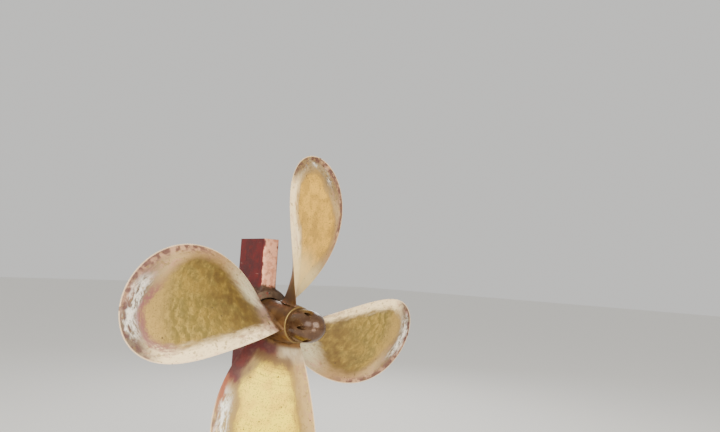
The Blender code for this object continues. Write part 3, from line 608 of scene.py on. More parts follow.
# %% The ripple that hand grinding leaves, which dies out before the thin edge
EDGE_CALM = 0.025
per_metre = add(law, MATH, (1.0, given["Hand Work Size"]), operation="DIVIDE")
noise = add(law, NOISE, {"Scale": per_metre, "Detail": 2.0})
ripple = add(law, MATH, (noise.outputs[0], 0.5), operation="SUBTRACT")
ripple = add(law, MATH, (ripple, given["Hand Work"]), operation="MULTIPLY")
calm = add(law, MAP_RANGE, {"Value": kept["from_edge"], "From Max": EDGE_CALM})
ripple = add(law, MATH, (ripple, calm), operation="MULTIPLY")
proud = add(law, MATH, (fillet, ripple), operation="ADD")
outwards = {"Vector": add(law, "GeometryNodeInputNormal"), "Scale": proud}
way_out = add(law, VECTOR_MATH, outwards, operation="SCALE")
blade = add(law, "GeometryNodeSetPosition", {"Geometry": blade, "Offset": way_out})
print("hand work in ripples of", BLADE_SIZES["Hand Work Size"], "m")

# %% Two maps for the finish: the blade rolled out flat, and the distance from its edge
# The hub gets a whole metre as that distance, which no point of a blade reaches
OFF_BLADE = 1.0
MAPS = {"plan": ("along", "reach"), "edge": ("from_edge", "rise")}
HUB_MAPS = {"plan": (0.0, HUB_MIDDLE_RADIUS), "edge": (OFF_BLADE, 0.0)}
barrel = given["Geometry"]
for label, (first, second) in MAPS.items():
    flat = add(law, COMBINE, (kept[first], kept[second]))
    blade = add(law, STORE, {"Geometry": blade, "Name": label, "Value": flat}, **A_MAP)
    flat = add(law, COMBINE, HUB_MAPS[label])
    barrel = add(law, STORE, {"Geometry": barrel, "Name": label, "Value": flat}, **A_MAP)
for label in kept:
    blade = add(law, "GeometryNodeRemoveAttribute", {"Geometry": blade, "Name": label})
print("maps on the skin:", ", ".join(MAPS))

# %% Four blades stand round the axis and join the hub
blades = add(law, "GeometryNodePoints", {"Count": given["Blades"], "Position": given["Axis"]})
step_angle = add(law, MATH, (2 * pi, given["Blades"]), operation="DIVIDE")
index = add(law, "GeometryNodeInputIndex")
stand = add(law, MATH, (index, step_angle, given["Rest Turn"]), operation="MULTIPLY_ADD")
standing = {"Points": blades, "Instance": blade, "Rotation": add(law, COMBINE, (0.0, stand, 0.0))}
blades = add(law, "GeometryNodeInstanceOnPoints", standing)
whole = add(law, "GeometryNodeMeshBoolean", operation="UNION", solver="EXACT")
law.links.new(barrel.outputs[0], whole.inputs["Mesh 2"])
law.links.new(blades.outputs[0], whole.inputs["Mesh 2"])
whole = add(law, "GeometryNodeRealizeInstances", {"Geometry": whole})
whole = add(law, "GeometryNodeSetMaterial", {"Geometry": whole, "Material": given["Finish"]})
law.links.new(whole.outputs[0], law_end.inputs[0])
print("the blade's law has", len(law.nodes), "nodes")

# %% [markdown]
# ## Boss cap
#
# The cap is a smooth bronze bell over the nut. Six bolts hold it, each sunk in a round pocket so that
# nothing stands out into the water. It is turned from an outline of a short straight and half an
# ellipse, hollow like the real one, and the pockets are cut where the bell curves over them.

# %% Cap
CAP_RADIUS = outer_radius("boss_cap")
CAP_END, CAP_BASE = along_shaft("boss_cap")
CAP_STRAIGHT = 0.055
CAP_WALL = 0.016
CAP_CAVITY_RADIUS = 0.055
CAP_POCKET_RADIUS = 0.0085
CAP_BOLT_GRIP = 0.014
CAP_EDGE = 0.003
CAP_EDGE_BULGE = 0.3
BELL_STEPS = 24
CUT_PAST = 0.01
BOLT_WAY_PAST = 0.004
print("cap", round(CAP_BASE - CAP_END, 3), "m long and", round(2 * CAP_RADIUS, 3), "m across")


def bell(radius, length, straight):
    """(radius, distance forward) from the cap's base round to its nose."""
    points = []
    for i in range(BELL_STEPS + 1):
        angle = pi / 2 * i / BELL_STEPS
        points.append((radius * cos(angle), CAP_BASE - straight - (length - straight) * sin(angle)))
    points[-1] = (0.0, points[-1][1])
    return points


def cap_outline():
    length = CAP_BASE - CAP_END
    bulge = CAP_EDGE * CAP_EDGE_BULGE
    outside = bell(CAP_RADIUS, length, CAP_STRAIGHT)
    inside = bell(CAP_CAVITY_RADIUS, length - CAP_WALL, CAP_STRAIGHT)
    rim = [
        (CAP_CAVITY_RADIUS, CAP_BASE),
        (CAP_RADIUS - CAP_EDGE, CAP_BASE),
        (CAP_RADIUS - bulge, CAP_BASE - bulge),
        (CAP_RADIUS, CAP_BASE - CAP_EDGE),
    ]
    return rim + outside + inside[::-1]


# %% The bell is turned, then the pockets and the bolts' ways are cut
cap = turned("boss_cap_turned", cap_outline())
pocket_floor = CAP_BASE - CAP_BOLT_GRIP
pocket = (CAP_POCKET_RADIUS, CAP_END - CUT_PAST, pocket_floor)
bolt_way = (CAP_BOLT_RADIUS + FIT_GAP, pocket_floor - BOLT_WAY_PAST, CAP_BASE + BOLT_WAY_PAST)
carve(cap, rods("cap_pockets", *pocket, CAP_BOLT_RING), rods("cap_bolt_ways", *bolt_way, CAP_BOLT_RING))
print("cap drawn with", len(cap.data.polygons), "faces")

# %% [markdown]
# ## Stern frame boss
#
# The boss and the stubs of post above and below it are one steel casting. In a casting, every place
# where two forms meet runs together in a soft hollow. A voxel remesh gives just that: the boss and the
# two posts are laid into each other, remeshed as one skin, and smoothed. What a machine cut later is
# cut here later too, so it stays crisp: the butt faces, the recess for the tube's nut and the bore.

# %% Boss sizes
BOSS_AFT, BOSS_FORWARD = along_shaft("stern_frame_boss")
BOSS_FACE_RADIUS = 0.150
BOSS_RADIUS = 0.175
BOSS_FORWARD_RADIUS = 0.135
BOSS_DOME = 0.075
BOSS_BARREL = 0.190
BOSS_STEPS = 12
RECESS_RADIUS = 0.112
RECESS_DEPTH = 0.035
POST_HALF_WIDTH = 0.048
POST_HALF_LENGTH = 0.120
POST_ROUNDING = 0.012
POST_ROOT = 0.060
POST_FLARE = 0.050
POST_FLARE_HEIGHT = 0.165
POST_PAST = 0.03
POST_STEPS = 24
POST_CORNER_STEPS = 6
CAST_VOXEL = 0.0045
CAST_SMOOTH = 5
TUBE_OUTER = 0.085
POST_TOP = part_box("stern_frame_boss")[1].z
POST_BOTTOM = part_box("stern_frame_boss")[0].z
print("post stubs from", round(POST_BOTTOM, 3), "up to", round(POST_TOP, 3), "m")


# %% The boss's round body
def boss_outline():
    """A domed shoulder, a straight barrel and a long taper, closed along the axis."""
    points = [(0.0, BOSS_AFT), (BOSS_FACE_RADIUS, BOSS_AFT)]
    for i in range(1, BOSS_STEPS + 1):
        angle = pi / 2 * i / BOSS_STEPS
        radius = BOSS_FACE_RADIUS + (BOSS_RADIUS - BOSS_FACE_RADIUS) * sin(angle)
        points.append((radius, BOSS_AFT + BOSS_DOME * (1 - cos(angle))))
    taper_from = BOSS_AFT + BOSS_BARREL
    for i in range(BOSS_STEPS + 1):
        share = i / BOSS_STEPS
        fall = (BOSS_RADIUS - BOSS_FORWARD_RADIUS) * (1 - cos(pi * share)) / 2
        points.append((BOSS_RADIUS - fall, taper_from + (BOSS_FORWARD - taper_from) * share))
    points.append((0.0, BOSS_FORWARD))
    return points


# %% Rings of points become a closed skin, and a post is a stack of rounded rectangles
def skinned(name, bm, rings):
    """Faces between rings with equally many points, and one face over each end."""
    for near, far in zip(rings, rings[1:]):
        for i in range(len(near)):
            j = (i + 1) % len(near)
            bm.faces.new((near[i], near[j], far[j], far[i]))
    bm.faces.new(rings[0])
    bm.faces.new(rings[-1])
    bmesh.ops.recalc_face_normals(bm, faces=bm.faces)
    return new_object(name, bm)


def post(name, reach, way):
    bm = bmesh.new()
    rows = []
    heights = [POST_ROOT + POST_FLARE_HEIGHT * i / POST_STEPS for i in range(POST_STEPS + 1)]
    for height in (*heights, reach + POST_PAST):
        share = min((height - POST_ROOT) / POST_FLARE_HEIGHT, 1.0)
        wide = POST_HALF_WIDTH + POST_FLARE * (1 - sin(share * pi / 2)) ** 2
        row = []
        for corner_x, corner_y, first in ((1, 1, 0), (-1, 1, 1), (-1, -1, 2), (1, -1, 3)):
            for i in range(POST_CORNER_STEPS + 1):
                angle = pi / 2 * (first + i / POST_CORNER_STEPS)
                x = corner_x * (wide - POST_ROUNDING) + POST_ROUNDING * cos(angle)
                y = corner_y * (POST_HALF_LENGTH - POST_ROUNDING) + POST_ROUNDING * sin(angle)
                row.append(bm.verts.new((x, y, AXIS.z + way * height)))
        rows.append(row)
    return skinned(name, bm, rows)


# %% Laid together, remeshed and smoothed
def joined(name, *parts):
    """Several objects' meshes as one object, for a remesh to run together."""
    bm = bmesh.new()
    for item in parts:
        bm.from_mesh(item.data)
        bpy.data.objects.remove(item, do_unlink=True)
    return new_object(name, bm)


boss = joined(
    "stern_frame_casting",
    turned("boss_body", boss_outline()),
    post("post_upper", POST_TOP - AXIS.z, 1),
    post("post_lower", AXIS.z - POST_BOTTOM, -1),
)
remesh = boss.modifiers.new("one skin", "REMESH")
remesh.mode = "VOXEL"
remesh.voxel_size = CAST_VOXEL
soften = boss.modifiers.new("cast hollows", "SMOOTH")
soften.factor = 0.5
soften.iterations = CAST_SMOOTH
settle(boss)
print("one skin of", len(boss.data.polygons), "faces, before it is cut")

# %% The cuts that a machine made
GUARD_SCREW_RING = Ring(6, 0.136, pi / 6)
GUARD_SCREW_RADIUS = 0.003
GUARD_SCREW_LENGTH = 0.018
GUARD_HEAD_DEPTH = 0.0055
GUARD_SCREW_SEAT = BOSS_AFT - FIT_GAP - GUARD_HEAD_DEPTH
SCREW_STEPS = 16
SLAB_HALF = 0.5
BORE_PAST = 0.02


def slab(name, z_from, z_to):
    return block(name, Vector((-SLAB_HALF, -SLAB_HALF, z_from)), Vector((SLAB_HALF, SLAB_HALF, z_to)))


from_aft = BOSS_AFT - BORE_PAST
recess = (RECESS_RADIUS, from_aft, BOSS_AFT + RECESS_DEPTH, ON_AXIS, ROUND_STEPS)
bore = (TUBE_OUTER + FIT_GAP, from_aft, BOSS_FORWARD + BORE_PAST, ON_AXIS, ROUND_STEPS)
screw_end = GUARD_SCREW_SEAT + GUARD_SCREW_LENGTH + FIT_GAP
screw_hole = (GUARD_SCREW_RADIUS + FIT_GAP, from_aft, screw_end, GUARD_SCREW_RING, SCREW_STEPS)
carve(
    boss,
    slab("above_butt", POST_TOP, POST_TOP + 2 * POST_PAST),
    slab("below_butt", POST_BOTTOM - 2 * POST_PAST, POST_BOTTOM),
    rods("recess", *recess),
    rods("bore", *bore),
    rods("guard_screw_holes", *screw_hole),
)
print("casting with", len(boss.data.polygons), "faces, box", boss.dimensions[:])

# %% [markdown]
# ## Rope guard
#
# A coned ring covers the gap between hub and boss, so that a drifting line can't wind itself onto the
# shaft. It is in two halves, because it has to go on with the shaft in place, and six screws with
# sunk heads hold it on the boss's face. A whole ring is turned for each half, and the other half is
# cut away.

# %% Guard halves
GUARD_INNER = 0.1125
GUARD_LIP = 0.1185
GUARD_OUTER = 0.149
GUARD_EDGE = 0.004
GUARD_DEPTH = 0.0135
GUARD_EASING = 0.0012
GUARD_HEAD_RADIUS = 0.0055
GUARD_WAY_STEPS = 24
GUARD_END = BOSS_AFT - FIT_GAP
GUARD_START = GUARD_END - GUARD_DEPTH


def guard_half(name, way):
    outline = [
        (GUARD_INNER, GUARD_START),
        (GUARD_LIP, GUARD_START),
        (GUARD_OUTER, GUARD_END - GUARD_EDGE),
        (GUARD_OUTER, GUARD_END),
        (GUARD_INNER, GUARD_END),
    ]
    ring = turned(name, eased(outline, GUARD_EASING))
    low, high = sorted((AXIS.z + way * FIT_GAP / 2, AXIS.z - way * SLAB_HALF))
    start, end = GUARD_START - CUT_PAST, GUARD_END + CUT_PAST
    screw_way = (GUARD_SCREW_RADIUS + FIT_GAP, start, end, GUARD_SCREW_RING, GUARD_WAY_STEPS)
    seat = (GUARD_HEAD_RADIUS + FIT_GAP, start, GUARD_SCREW_SEAT + FIT_GAP, GUARD_SCREW_RING)
    other_half = slab("other_half", low, high)
    return carve(ring, other_half, rods("screw_ways", *screw_way), rods("screw_seats", *seat))


guard_upper = guard_half("rope_guard_half_upper", 1)
guard_lower = guard_half("rope_guard_half_lower", -1)
print("guard halves:", len(guard_upper.data.polygons), len(guard_lower.data.polygons), "faces")

# %% [markdown]
# ## Shaft, liner, stern tube, stuffing box and gland
#
# Inboard of the boss everything is machined and round. Each piece is turned from its own outline with
# its corners eased, and its bolt holes are cut through the flange.

# %% Tail shaft
LINER_RADIUS = outer_radius("shaft_liner")
THREAD_RADIUS = 0.034
THREAD_EDGE = 0.002
FLANGE_RADIUS = outer_radius("tail_shaft")
FLANGE_THICKNESS = 0.030
FLANGE_FILLET = 0.012
FLANGE_EASING = 0.002
FLANGE_STEPS = 8
COUPLING_RING = Ring(6, 0.095, 0.0)
COUPLING_HOLE_RADIUS = 0.011
SHAFT_AFT, SHAFT_FORWARD = along_shaft("tail_shaft")
print("shaft from", round(SHAFT_AFT, 3), "to", round(SHAFT_FORWARD, 3), "m along the axis")


def shaft_outline():
    flange_back = SHAFT_FORWARD - FLANGE_THICKNESS
    points = [
        (0.0, SHAFT_AFT),
        (THREAD_RADIUS - THREAD_EDGE, SHAFT_AFT),
        (THREAD_RADIUS, SHAFT_AFT + THREAD_EDGE),
        (THREAD_RADIUS, HUB_AFT + FIT_GAP),
        (bore_radius(HUB_AFT) - FIT_GAP, HUB_AFT + FIT_GAP),
        (SHAFT_RADIUS, HUB_FORWARD),
    ]
    for i in range(FLANGE_STEPS + 1):
        angle = pi / 2 * i / FLANGE_STEPS
        radius = SHAFT_RADIUS + FLANGE_FILLET * (1 - cos(angle))
        points.append((radius, flange_back - FLANGE_FILLET * (1 - sin(angle))))
    flange = [
        (SHAFT_RADIUS, flange_back),
        (FLANGE_RADIUS, flange_back),
        (FLANGE_RADIUS, SHAFT_FORWARD),
        (0.0, SHAFT_FORWARD),
    ]
    rim = eased(flange, FLANGE_EASING)
    points += [point for point in rim if point[0] > FLANGE_RADIUS - 1.5 * FLANGE_EASING]
    points.append((0.0, SHAFT_FORWARD))
    return points


# %% The shaft is turned, then drilled for its coupling and slotted for its key
shaft = turned("tail_shaft_turned", shaft_outline())
through_flange = (SHAFT_FORWARD - FLANGE_THICKNESS - 2 * CUT_PAST, SHAFT_FORWARD + CUT_PAST)
coupling_hole = (COUPLING_HOLE_RADIUS, *through_flange, COUPLING_RING)
carve(shaft, rods("coupling_holes", *coupling_hole), keyway())
print("shaft drawn with", len(shaft.data.polygons), "faces")

# %% Liner
LINER_EASING = 0.0025
start, end = along_shaft("shaft_liner")
liner_bore = SHAFT_RADIUS + FIT_GAP
sleeve = [(LINER_RADIUS, start), (LINER_RADIUS, end), (liner_bore, end), (liner_bore, start)]
liner = turned("shaft_liner_turned", eased(sleeve, LINER_EASING))
print("liner drawn with", len(liner.data.polygons), "faces")

# %% Stern tube
TUBE_AFT, TUBE_FORWARD = along_shaft("stern_tube")
TUBE_INNER = 0.075
TUBE_FLANGE_RADIUS = outer_radius("stern_tube")
TUBE_FLANGE_THICKNESS = 0.020
TUBE_EASING = 0.0015
BOX_BOLT_RING = Ring(6, 0.106, pi / 6)
BOX_BOLT_RADIUS = 0.006
flange_back = TUBE_FORWARD - TUBE_FLANGE_THICKNESS
through_both = (flange_back - CUT_PAST, TUBE_FORWARD + 3 * CUT_PAST)
flange_hole = (BOX_BOLT_RADIUS + FIT_GAP, *through_both, BOX_BOLT_RING)
tube_outline = [
    (TUBE_INNER, TUBE_AFT),
    (TUBE_OUTER, TUBE_AFT),
    (TUBE_OUTER, flange_back),
    (TUBE_FLANGE_RADIUS, flange_back),
    (TUBE_FLANGE_RADIUS, TUBE_FORWARD),
    (TUBE_INNER, TUBE_FORWARD),
]
tube = turned("stern_tube_turned", eased(tube_outline, TUBE_EASING))
carve(tube, rods("flange_holes", *flange_hole))
print("tube drawn with", len(tube.data.polygons), "faces")

# %% Stuffing box
BOX_START, BOX_FORWARD = along_shaft("stuffing_box")
BOX_RADIUS = 0.088
BOX_BORE = 0.078
BOX_FLOOR = 0.012
BOX_FLANGE = 0.018
BOX_EASING = 0.002
SHAFT_CLEAR = 0.0025
STUD_RING = Ring(3, 0.1035, 0.0)
STUD_RADIUS = 0.006
STUD_SUNK = 0.0037
box_clear = LINER_RADIUS + SHAFT_CLEAR
box_flange_end = BOX_START + BOX_FLANGE
box_outline = [
    (box_clear, BOX_START),
    (TUBE_FLANGE_RADIUS, BOX_START),
    (TUBE_FLANGE_RADIUS, box_flange_end),
    (BOX_RADIUS, box_flange_end),
    (BOX_RADIUS, BOX_FORWARD),
    (BOX_BORE, BOX_FORWARD),
    (BOX_BORE, BOX_START + BOX_FLOOR),
    (box_clear, BOX_START + BOX_FLOOR),
]
stuffing_box = turned("stuffing_box_turned", eased(box_outline, BOX_EASING))
stud_hole = (STUD_RADIUS + FIT_GAP, BOX_START + STUD_SUNK, box_flange_end + CUT_PAST, STUD_RING)
carve(stuffing_box, rods("flange_holes", *flange_hole), rods("stud_holes", *stud_hole))
print("stuffing box drawn with", len(stuffing_box.data.polygons), "faces")

# %% Gland
GLAND_START, GLAND_END = along_shaft("gland_follower")
GLAND_RADIUS = outer_radius("gland_follower")
GLAND_FLANGE = 0.014
gland_seat = GLAND_END - GLAND_FLANGE
gland_outline = [
    (box_clear, GLAND_START),
    (BOX_BORE - FIT_GAP, GLAND_START),
    (BOX_BORE - FIT_GAP, gland_seat),
    (GLAND_RADIUS, gland_seat),
    (GLAND_RADIUS, GLAND_END),
    (box_clear, GLAND_END),
]
gland = turned("gland_turned", eased(gland_outline, BOX_EASING))
gland_hole = (STUD_RADIUS + FIT_GAP, gland_seat - CUT_PAST, GLAND_END + CUT_PAST, STUD_RING)
carve(gland, rods("gland_holes", *gland_hole))
print("gland drawn with", len(gland.data.polygons), "faces")

# %% [markdown]
# ## Bolts, studs and screws
#
# Every fastener is drawn once, as a stack of rings. A hexagon's corners are turned off on a lathe, so
# each ring is the smaller of a hexagon and a circle: that one rule draws the chamfer with its curved
# edges. A Geometry Nodes tree then stands copies round the shaft. Each copy is turned by a random
# angle about itself, because a real bolt stops wherever it is tight.

# %% One fastener as a stack of rings
FASTENER_POINTS = 48
CHAMFER_REACH = 0.95
CHAMFER_SLOPE = 0.58
THREAD_PITCH = 0.00175
THREAD_DEPTH = 0.0008
BLUNT_END = 0.001


def fastener(name, rings):
    """Rings of (distance forward, radius, flats or 0 for round), closed at both ends."""
    bm = bmesh.new()
    rows = []
    for forward, radius, flats in rings:
        row = []
        for i in range(FASTENER_POINTS):
            angle = 2 * pi * i / FASTENER_POINTS
            reach = radius
            if flats:
                off_flat = (angle + pi / 6) % (pi / 3) - pi / 6
                reach = min(radius, flats / 2 / cos(off_flat))
            row.append(bm.verts.new((reach * sin(angle), forward, reach * cos(angle))))
        rows.append(row)
    return skinned(name, bm, rows)


# %% The rings of a hexagon, a thread and a plain shank
def hexagon_rings(start, end, flats):
    """The rings of a hexagon with both ends chamfered."""
    corner = flats / 2 / cos(pi / 6)
    eased_to = flats / 2 * CHAMFER_REACH
    middle = (eased_to + corner) / 2
    slope = (corner - eased_to) * CHAMFER_SLOPE
    return [
        (start, eased_to, flats),
        (start + slope * 0.5, middle, flats),
        (start + slope, corner, flats),
        (end - slope, corner, flats),
        (end - slope * 0.5, middle, flats),
        (end, eased_to, flats),
    ]


def thread_rings(start, end, radius):
    """Ridges with a chamfered end, as a thread looks from outside."""
    turns = int((end - start - BLUNT_END) / THREAD_PITCH)
    rings = []
    for i in range(turns):
        forward = start + THREAD_PITCH * i
        rings.append((forward, radius - THREAD_DEPTH, 0))
        rings.append((forward + THREAD_PITCH / 2, radius, 0))
    rings.append((end - BLUNT_END, radius - THREAD_DEPTH / 2, 0))
    rings.append((end, radius - 1.5 * BLUNT_END, 0))
    return rings


def shank_rings(start, end, radius):
    """A plain round shank whose far end is blunted."""
    return [(start, radius, 0), (end - BLUNT_END, radius, 0), (end, radius - BLUNT_END, 0)]


# %% A tree that stands fasteners round the shaft
RING_SIZES = {"Count": 6, "Radius": 0.1, "Phase": 0.0, "Random Turn": pi / 3, "Seed": 1}
circle, ring_in, circle_end = new_tree("fasteners on a circle", RING_SIZES)
index = add(circle, "GeometryNodeInputIndex")
part_turn = add(circle, MATH, (2 * pi, ring_in["Count"]), operation="DIVIDE")
angle = add(circle, MATH, (index, part_turn, ring_in["Phase"]), operation="MULTIPLY_ADD")
side_way = add(circle, MATH, (angle,), operation="COSINE")
side_way = add(circle, MATH, (side_way, ring_in["Radius"]), operation="MULTIPLY")
down_way = add(circle, MATH, (angle,), operation="SINE")
down_way = add(circle, MATH, (down_way, ring_in["Radius"]), operation="MULTIPLY")
down_way = add(circle, MATH, (down_way, -1.0), operation="MULTIPLY")
offset = add(circle, COMBINE, (side_way, 0.0, down_way))
place = add(circle, VECTOR_MATH, (ring_in["Axis"], offset), operation="ADD")
spots = add(circle, "GeometryNodePoints", {"Count": ring_in["Count"]})
spots = add(circle, "GeometryNodeSetPosition", {"Geometry": spots, "Position": place})
draw = {"Min": 0.0, "Max": ring_in["Random Turn"], "ID": index, "Seed": ring_in["Seed"]}
own_turn = add(circle, "FunctionNodeRandomValue", draw, data_type="FLOAT")
own_turn = add(circle, COMBINE, (0.0, own_turn, 0.0))
standing = {"Points": spots, "Instance": ring_in["Geometry"], "Rotation": own_turn}
stands = add(circle, "GeometryNodeInstanceOnPoints", standing)
solid = add(circle, "GeometryNodeRealizeInstances", {"Geometry": stands})
solid = add(circle, "GeometryNodeSetMaterial", {"Geometry": solid, "Material": ring_in["Finish"]})
circle.links.new(solid.outputs[0], circle_end.inputs[0])
print("the circle tree has", len(circle.nodes), "nodes")


def stand_round(made, ring, seed, finish, random_turn=pi / 3):
    """Stand copies of one fastener on a ring round the shaft."""
    sizes = {"Count": ring.count, "Radius": ring.radius, "Phase": ring.phase}
    return grow(made, circle, sizes | {"Random Turn": random_turn, "Seed": seed}, finish)


# %% Cap bolts, sunk in their pockets
CAP_BOLT_FLATS = 0.013
CAP_BOLT_HEAD = 0.006
CAP_BOLT_LENGTH = 0.034
print(CAP_BOLT_RING.count, "cap bolts,", CAP_BOLT_LENGTH, "m under the head")


def cap_bolts(finish):
    seat = CAP_BASE - CAP_BOLT_GRIP - FIT_GAP
    rings = hexagon_rings(seat - CAP_BOLT_HEAD, seat, CAP_BOLT_FLATS)
    rings += shank_rings(seat, seat + CAP_BOLT_LENGTH, CAP_BOLT_RADIUS)
    return stand_round(fastener("cap_bolts", rings), CAP_BOLT_RING, 3, finish)


# %% Guard screws: domed heads with a driver's slot
GUARD_HEAD = 0.003
GUARD_DOME = ((0.0, 0.55), (0.15, 0.82), (0.45, 1.0), (1.0, 1.0))
SLOT_WIDTH = 0.0014
SLOT_DEPTH = 0.0014
print(GUARD_SCREW_RING.count, "guard screws,", GUARD_SCREW_LENGTH, "m under the head")


def guard_screws(finish):
    seat = GUARD_SCREW_SEAT
    top = seat - GUARD_HEAD
    rings = [(top + GUARD_HEAD * down, GUARD_HEAD_RADIUS * out, 0) for down, out in GUARD_DOME]
    rings += shank_rings(seat, seat + GUARD_SCREW_LENGTH, GUARD_SCREW_RADIUS)
    screw = fastener("guard_screws", rings)
    half_slot = Vector((SLOT_WIDTH / 2, SLOT_DEPTH, 2 * GUARD_HEAD_RADIUS))
    middle = Vector((0, top, 0))
    carve(screw, block("slot", middle - half_slot, middle + half_slot))
    return stand_round(screw, GUARD_SCREW_RING, 7, finish, random_turn=pi)


# %% Bolts through the tube's flange and the stuffing box, with their nuts
BOX_BOLT_FLATS = 0.019
BOX_BOLT_HEAD = 0.008
print(BOX_BOLT_RING.count, "box bolts,", BOX_BOLT_FLATS, "m over the flats")


def box_bolts(finish):
    start, end = along_shaft("box_bolt_1")
    head_seat = start + BOX_BOLT_HEAD
    nut_seat = box_flange_end + FIT_GAP
    rings = hexagon_rings(start, head_seat, BOX_BOLT_FLATS)
    rings += [(head_seat, BOX_BOLT_RADIUS, 0), (nut_seat, BOX_BOLT_RADIUS, 0)]
    rings += hexagon_rings(nut_seat, nut_seat + BOX_BOLT_HEAD, BOX_BOLT_FLATS)
    rings += thread_rings(nut_seat + BOX_BOLT_HEAD, end, BOX_BOLT_RADIUS)
    return stand_round(fastener("box_bolts", rings), BOX_BOLT_RING, 11, finish)


# %% Gland studs and their nuts
STUD_FLATS = 0.019
STUD_NUT = 0.010
print(STUD_RING.count, "studs with nuts", STUD_FLATS, "m over the flats")


def gland_studs(finish):
    start, end = along_shaft("gland_stud_1")
    nut_seat = GLAND_END + FIT_GAP
    rings = [(start, STUD_RADIUS - BLUNT_END, 0), (start + BLUNT_END, STUD_RADIUS, 0)]
    rings.append((nut_seat, STUD_RADIUS, 0))
    rings += hexagon_rings(nut_seat, nut_seat + STUD_NUT, STUD_FLATS)
    rings += thread_rings(nut_seat + STUD_NUT, end, STUD_RADIUS)
    return stand_round(fastener("gland_studs", rings), STUD_RING, 17, finish)

# %% [markdown]
# ## How the finishes are built
#
# A worn surface is a pile of films: bare metal, then tarnish, then chalk, then whatever paint drifted on
# it. Each film here is four things: a colour, how metallic it is, how rough, and how densely it hides
# what is below. A cover between 0 and 1 says where it lies. That reads like the history of the surface,
# and a film can be taken out or moved without touching the rest. One big colour ramp would give less to
# change.
#
# A cover is the product of its limits. A limit is another cover, or a measure with two values of it:
# where the film starts, and where it is full. Most measures are lengths in metres, such as how far out
# along the blade a point is. The others are clouds of noise, which fray the borders and run from 0 to 1.

# %% Films and clouds
SOFT = {"interpolation_type": "SMOOTHSTEP"}
Film = namedtuple("Film", "colour metal rough dense", defaults=(1.0,))
Cloud = namedtuple("Cloud", "size low high detail", defaults=(5.0,))


def new_finish(name):
    """A material, its tree, and each surface point's place on the piece in metres."""
    made = bpy.data.materials.new(name)
    made.use_nodes = True
    tree = made.node_tree
    return made, tree, add(tree, "ShaderNodeTexCoord").outputs["Object"]


def every(tree, *limits):
    """The cover where all limits hold: their product. A limit may be (measure, starts at, full at)."""
    whole = None
    for limit in limits:
        if isinstance(limit, tuple):
            limit = add(tree, MAP_RANGE, limit, **SOFT)
        whole = limit if whole is None else add(tree, MATH, (whole, limit), operation="MULTIPLY")
    return whole


def lay(tree, under, over, *limits):
    """One film over another: where the limits' product is 1, the upper one hides the lower."""
    if over.dense < 1.0:
        limits += (over.dense,)
    cover = every(tree, *limits)
    mixed = []
    for low, high, kind in zip(under, over, ("RGBA", "FLOAT", "FLOAT")):
        low, high = (paint(value) if isinstance(value, str) else value for value in (low, high))
        if low != high:
            low = add(tree, "ShaderNodeMix", {"Factor": cover, "A": low, "B": high}, data_type=kind)
        mixed.append(low)
    return Film(*mixed)


# %% Clouds, piles and heights
def patches(tree, where, cloud):
    """Cloudy patches of one size: 0 where the noise is under the cloud's low, 1 over its high."""
    noise = {"Vector": where, "Scale": 1 / cloud.size, "Detail": cloud.detail}
    return every(tree, (add(tree, NOISE, noise), cloud.low, cloud.high))


def pile(tree, where, base, *layers):
    """A base film with others over it, each in its own cloudy patches."""
    for film, cloud in layers:
        base = lay(tree, base, film, patches(tree, where, cloud))
    return base


def built_up(tree, base, *zones):
    """A width or a height that gains so many metres in each zone."""
    for zone, gain in zones:
        base = add(tree, MATH, (zone, gain, base), operation="MULTIPLY_ADD")
    return base


def grain(tree, where, size, depth, detail=3.0):
    """The height of a cast or moulded skin: a fine cloud."""
    cloud = add(tree, NOISE, {"Vector": where, "Scale": 1 / size, "Detail": detail})
    return add(tree, MATH, (cloud, depth), operation="MULTIPLY")


def close_finish(tree, film, height):
    """Give the shader the last film, and the relief as a height in metres."""
    relief = add(tree, "ShaderNodeBump", {"Height": height, "Distance": 1.0})
    inputs = {"Base Color": film.colour, "Metallic": film.metal, "Roughness": film.rough}
    feed(tree, tree.nodes["Principled BSDF"], inputs | {"Normal": relief})
    print("finish with", len(tree.nodes), "nodes")


# %% [markdown]
# ## The bronze of the blades
#
# Nickel aluminium bronze is a golden, slightly greenish casting metal. In use, the water scours the
# middle of each blade to a soft gold, while a chalky scale grows where the flow is slack: in a band
# inside every edge and round the tip. The roots stay brown. Red bottom paint has drifted on here and
# there as a pink or magenta film.
#
# The blades carry two maps, so the finish can be laid by a blade's own measures: chordwise and outward
# in metres on the rolled-out blade, and how far inside the edge a point lies.

# %% The blade's own measures
BLADE_BELOW = 0.9 * OFF_BLADE
BRONZE, tree, where = new_finish("cast nickel aluminium bronze")
plan = add(tree, "ShaderNodeUVMap", uv_map="plan")
rolled = add(tree, SEPARATE, (plan,))
chordwise, outward = rolled.outputs["X"], rolled.outputs["Y"]
rim_map = add(tree, SEPARATE, (add(tree, "ShaderNodeUVMap", uv_map="edge"),))
inside = add(tree, MATH, (rim_map.outputs["X"], 0.0), operation="MAXIMUM")
on_back = add(tree, MATH, (rim_map.outputs["Y"], 0.0), operation="GREATER_THAN")
on_face = add(tree, MATH, (1.0, on_back), operation="SUBTRACT")
on_blade = add(tree, MATH, (inside, BLADE_BELOW), operation="LESS_THAN")
print("a blade's own measures,", len(tree.nodes), "nodes")

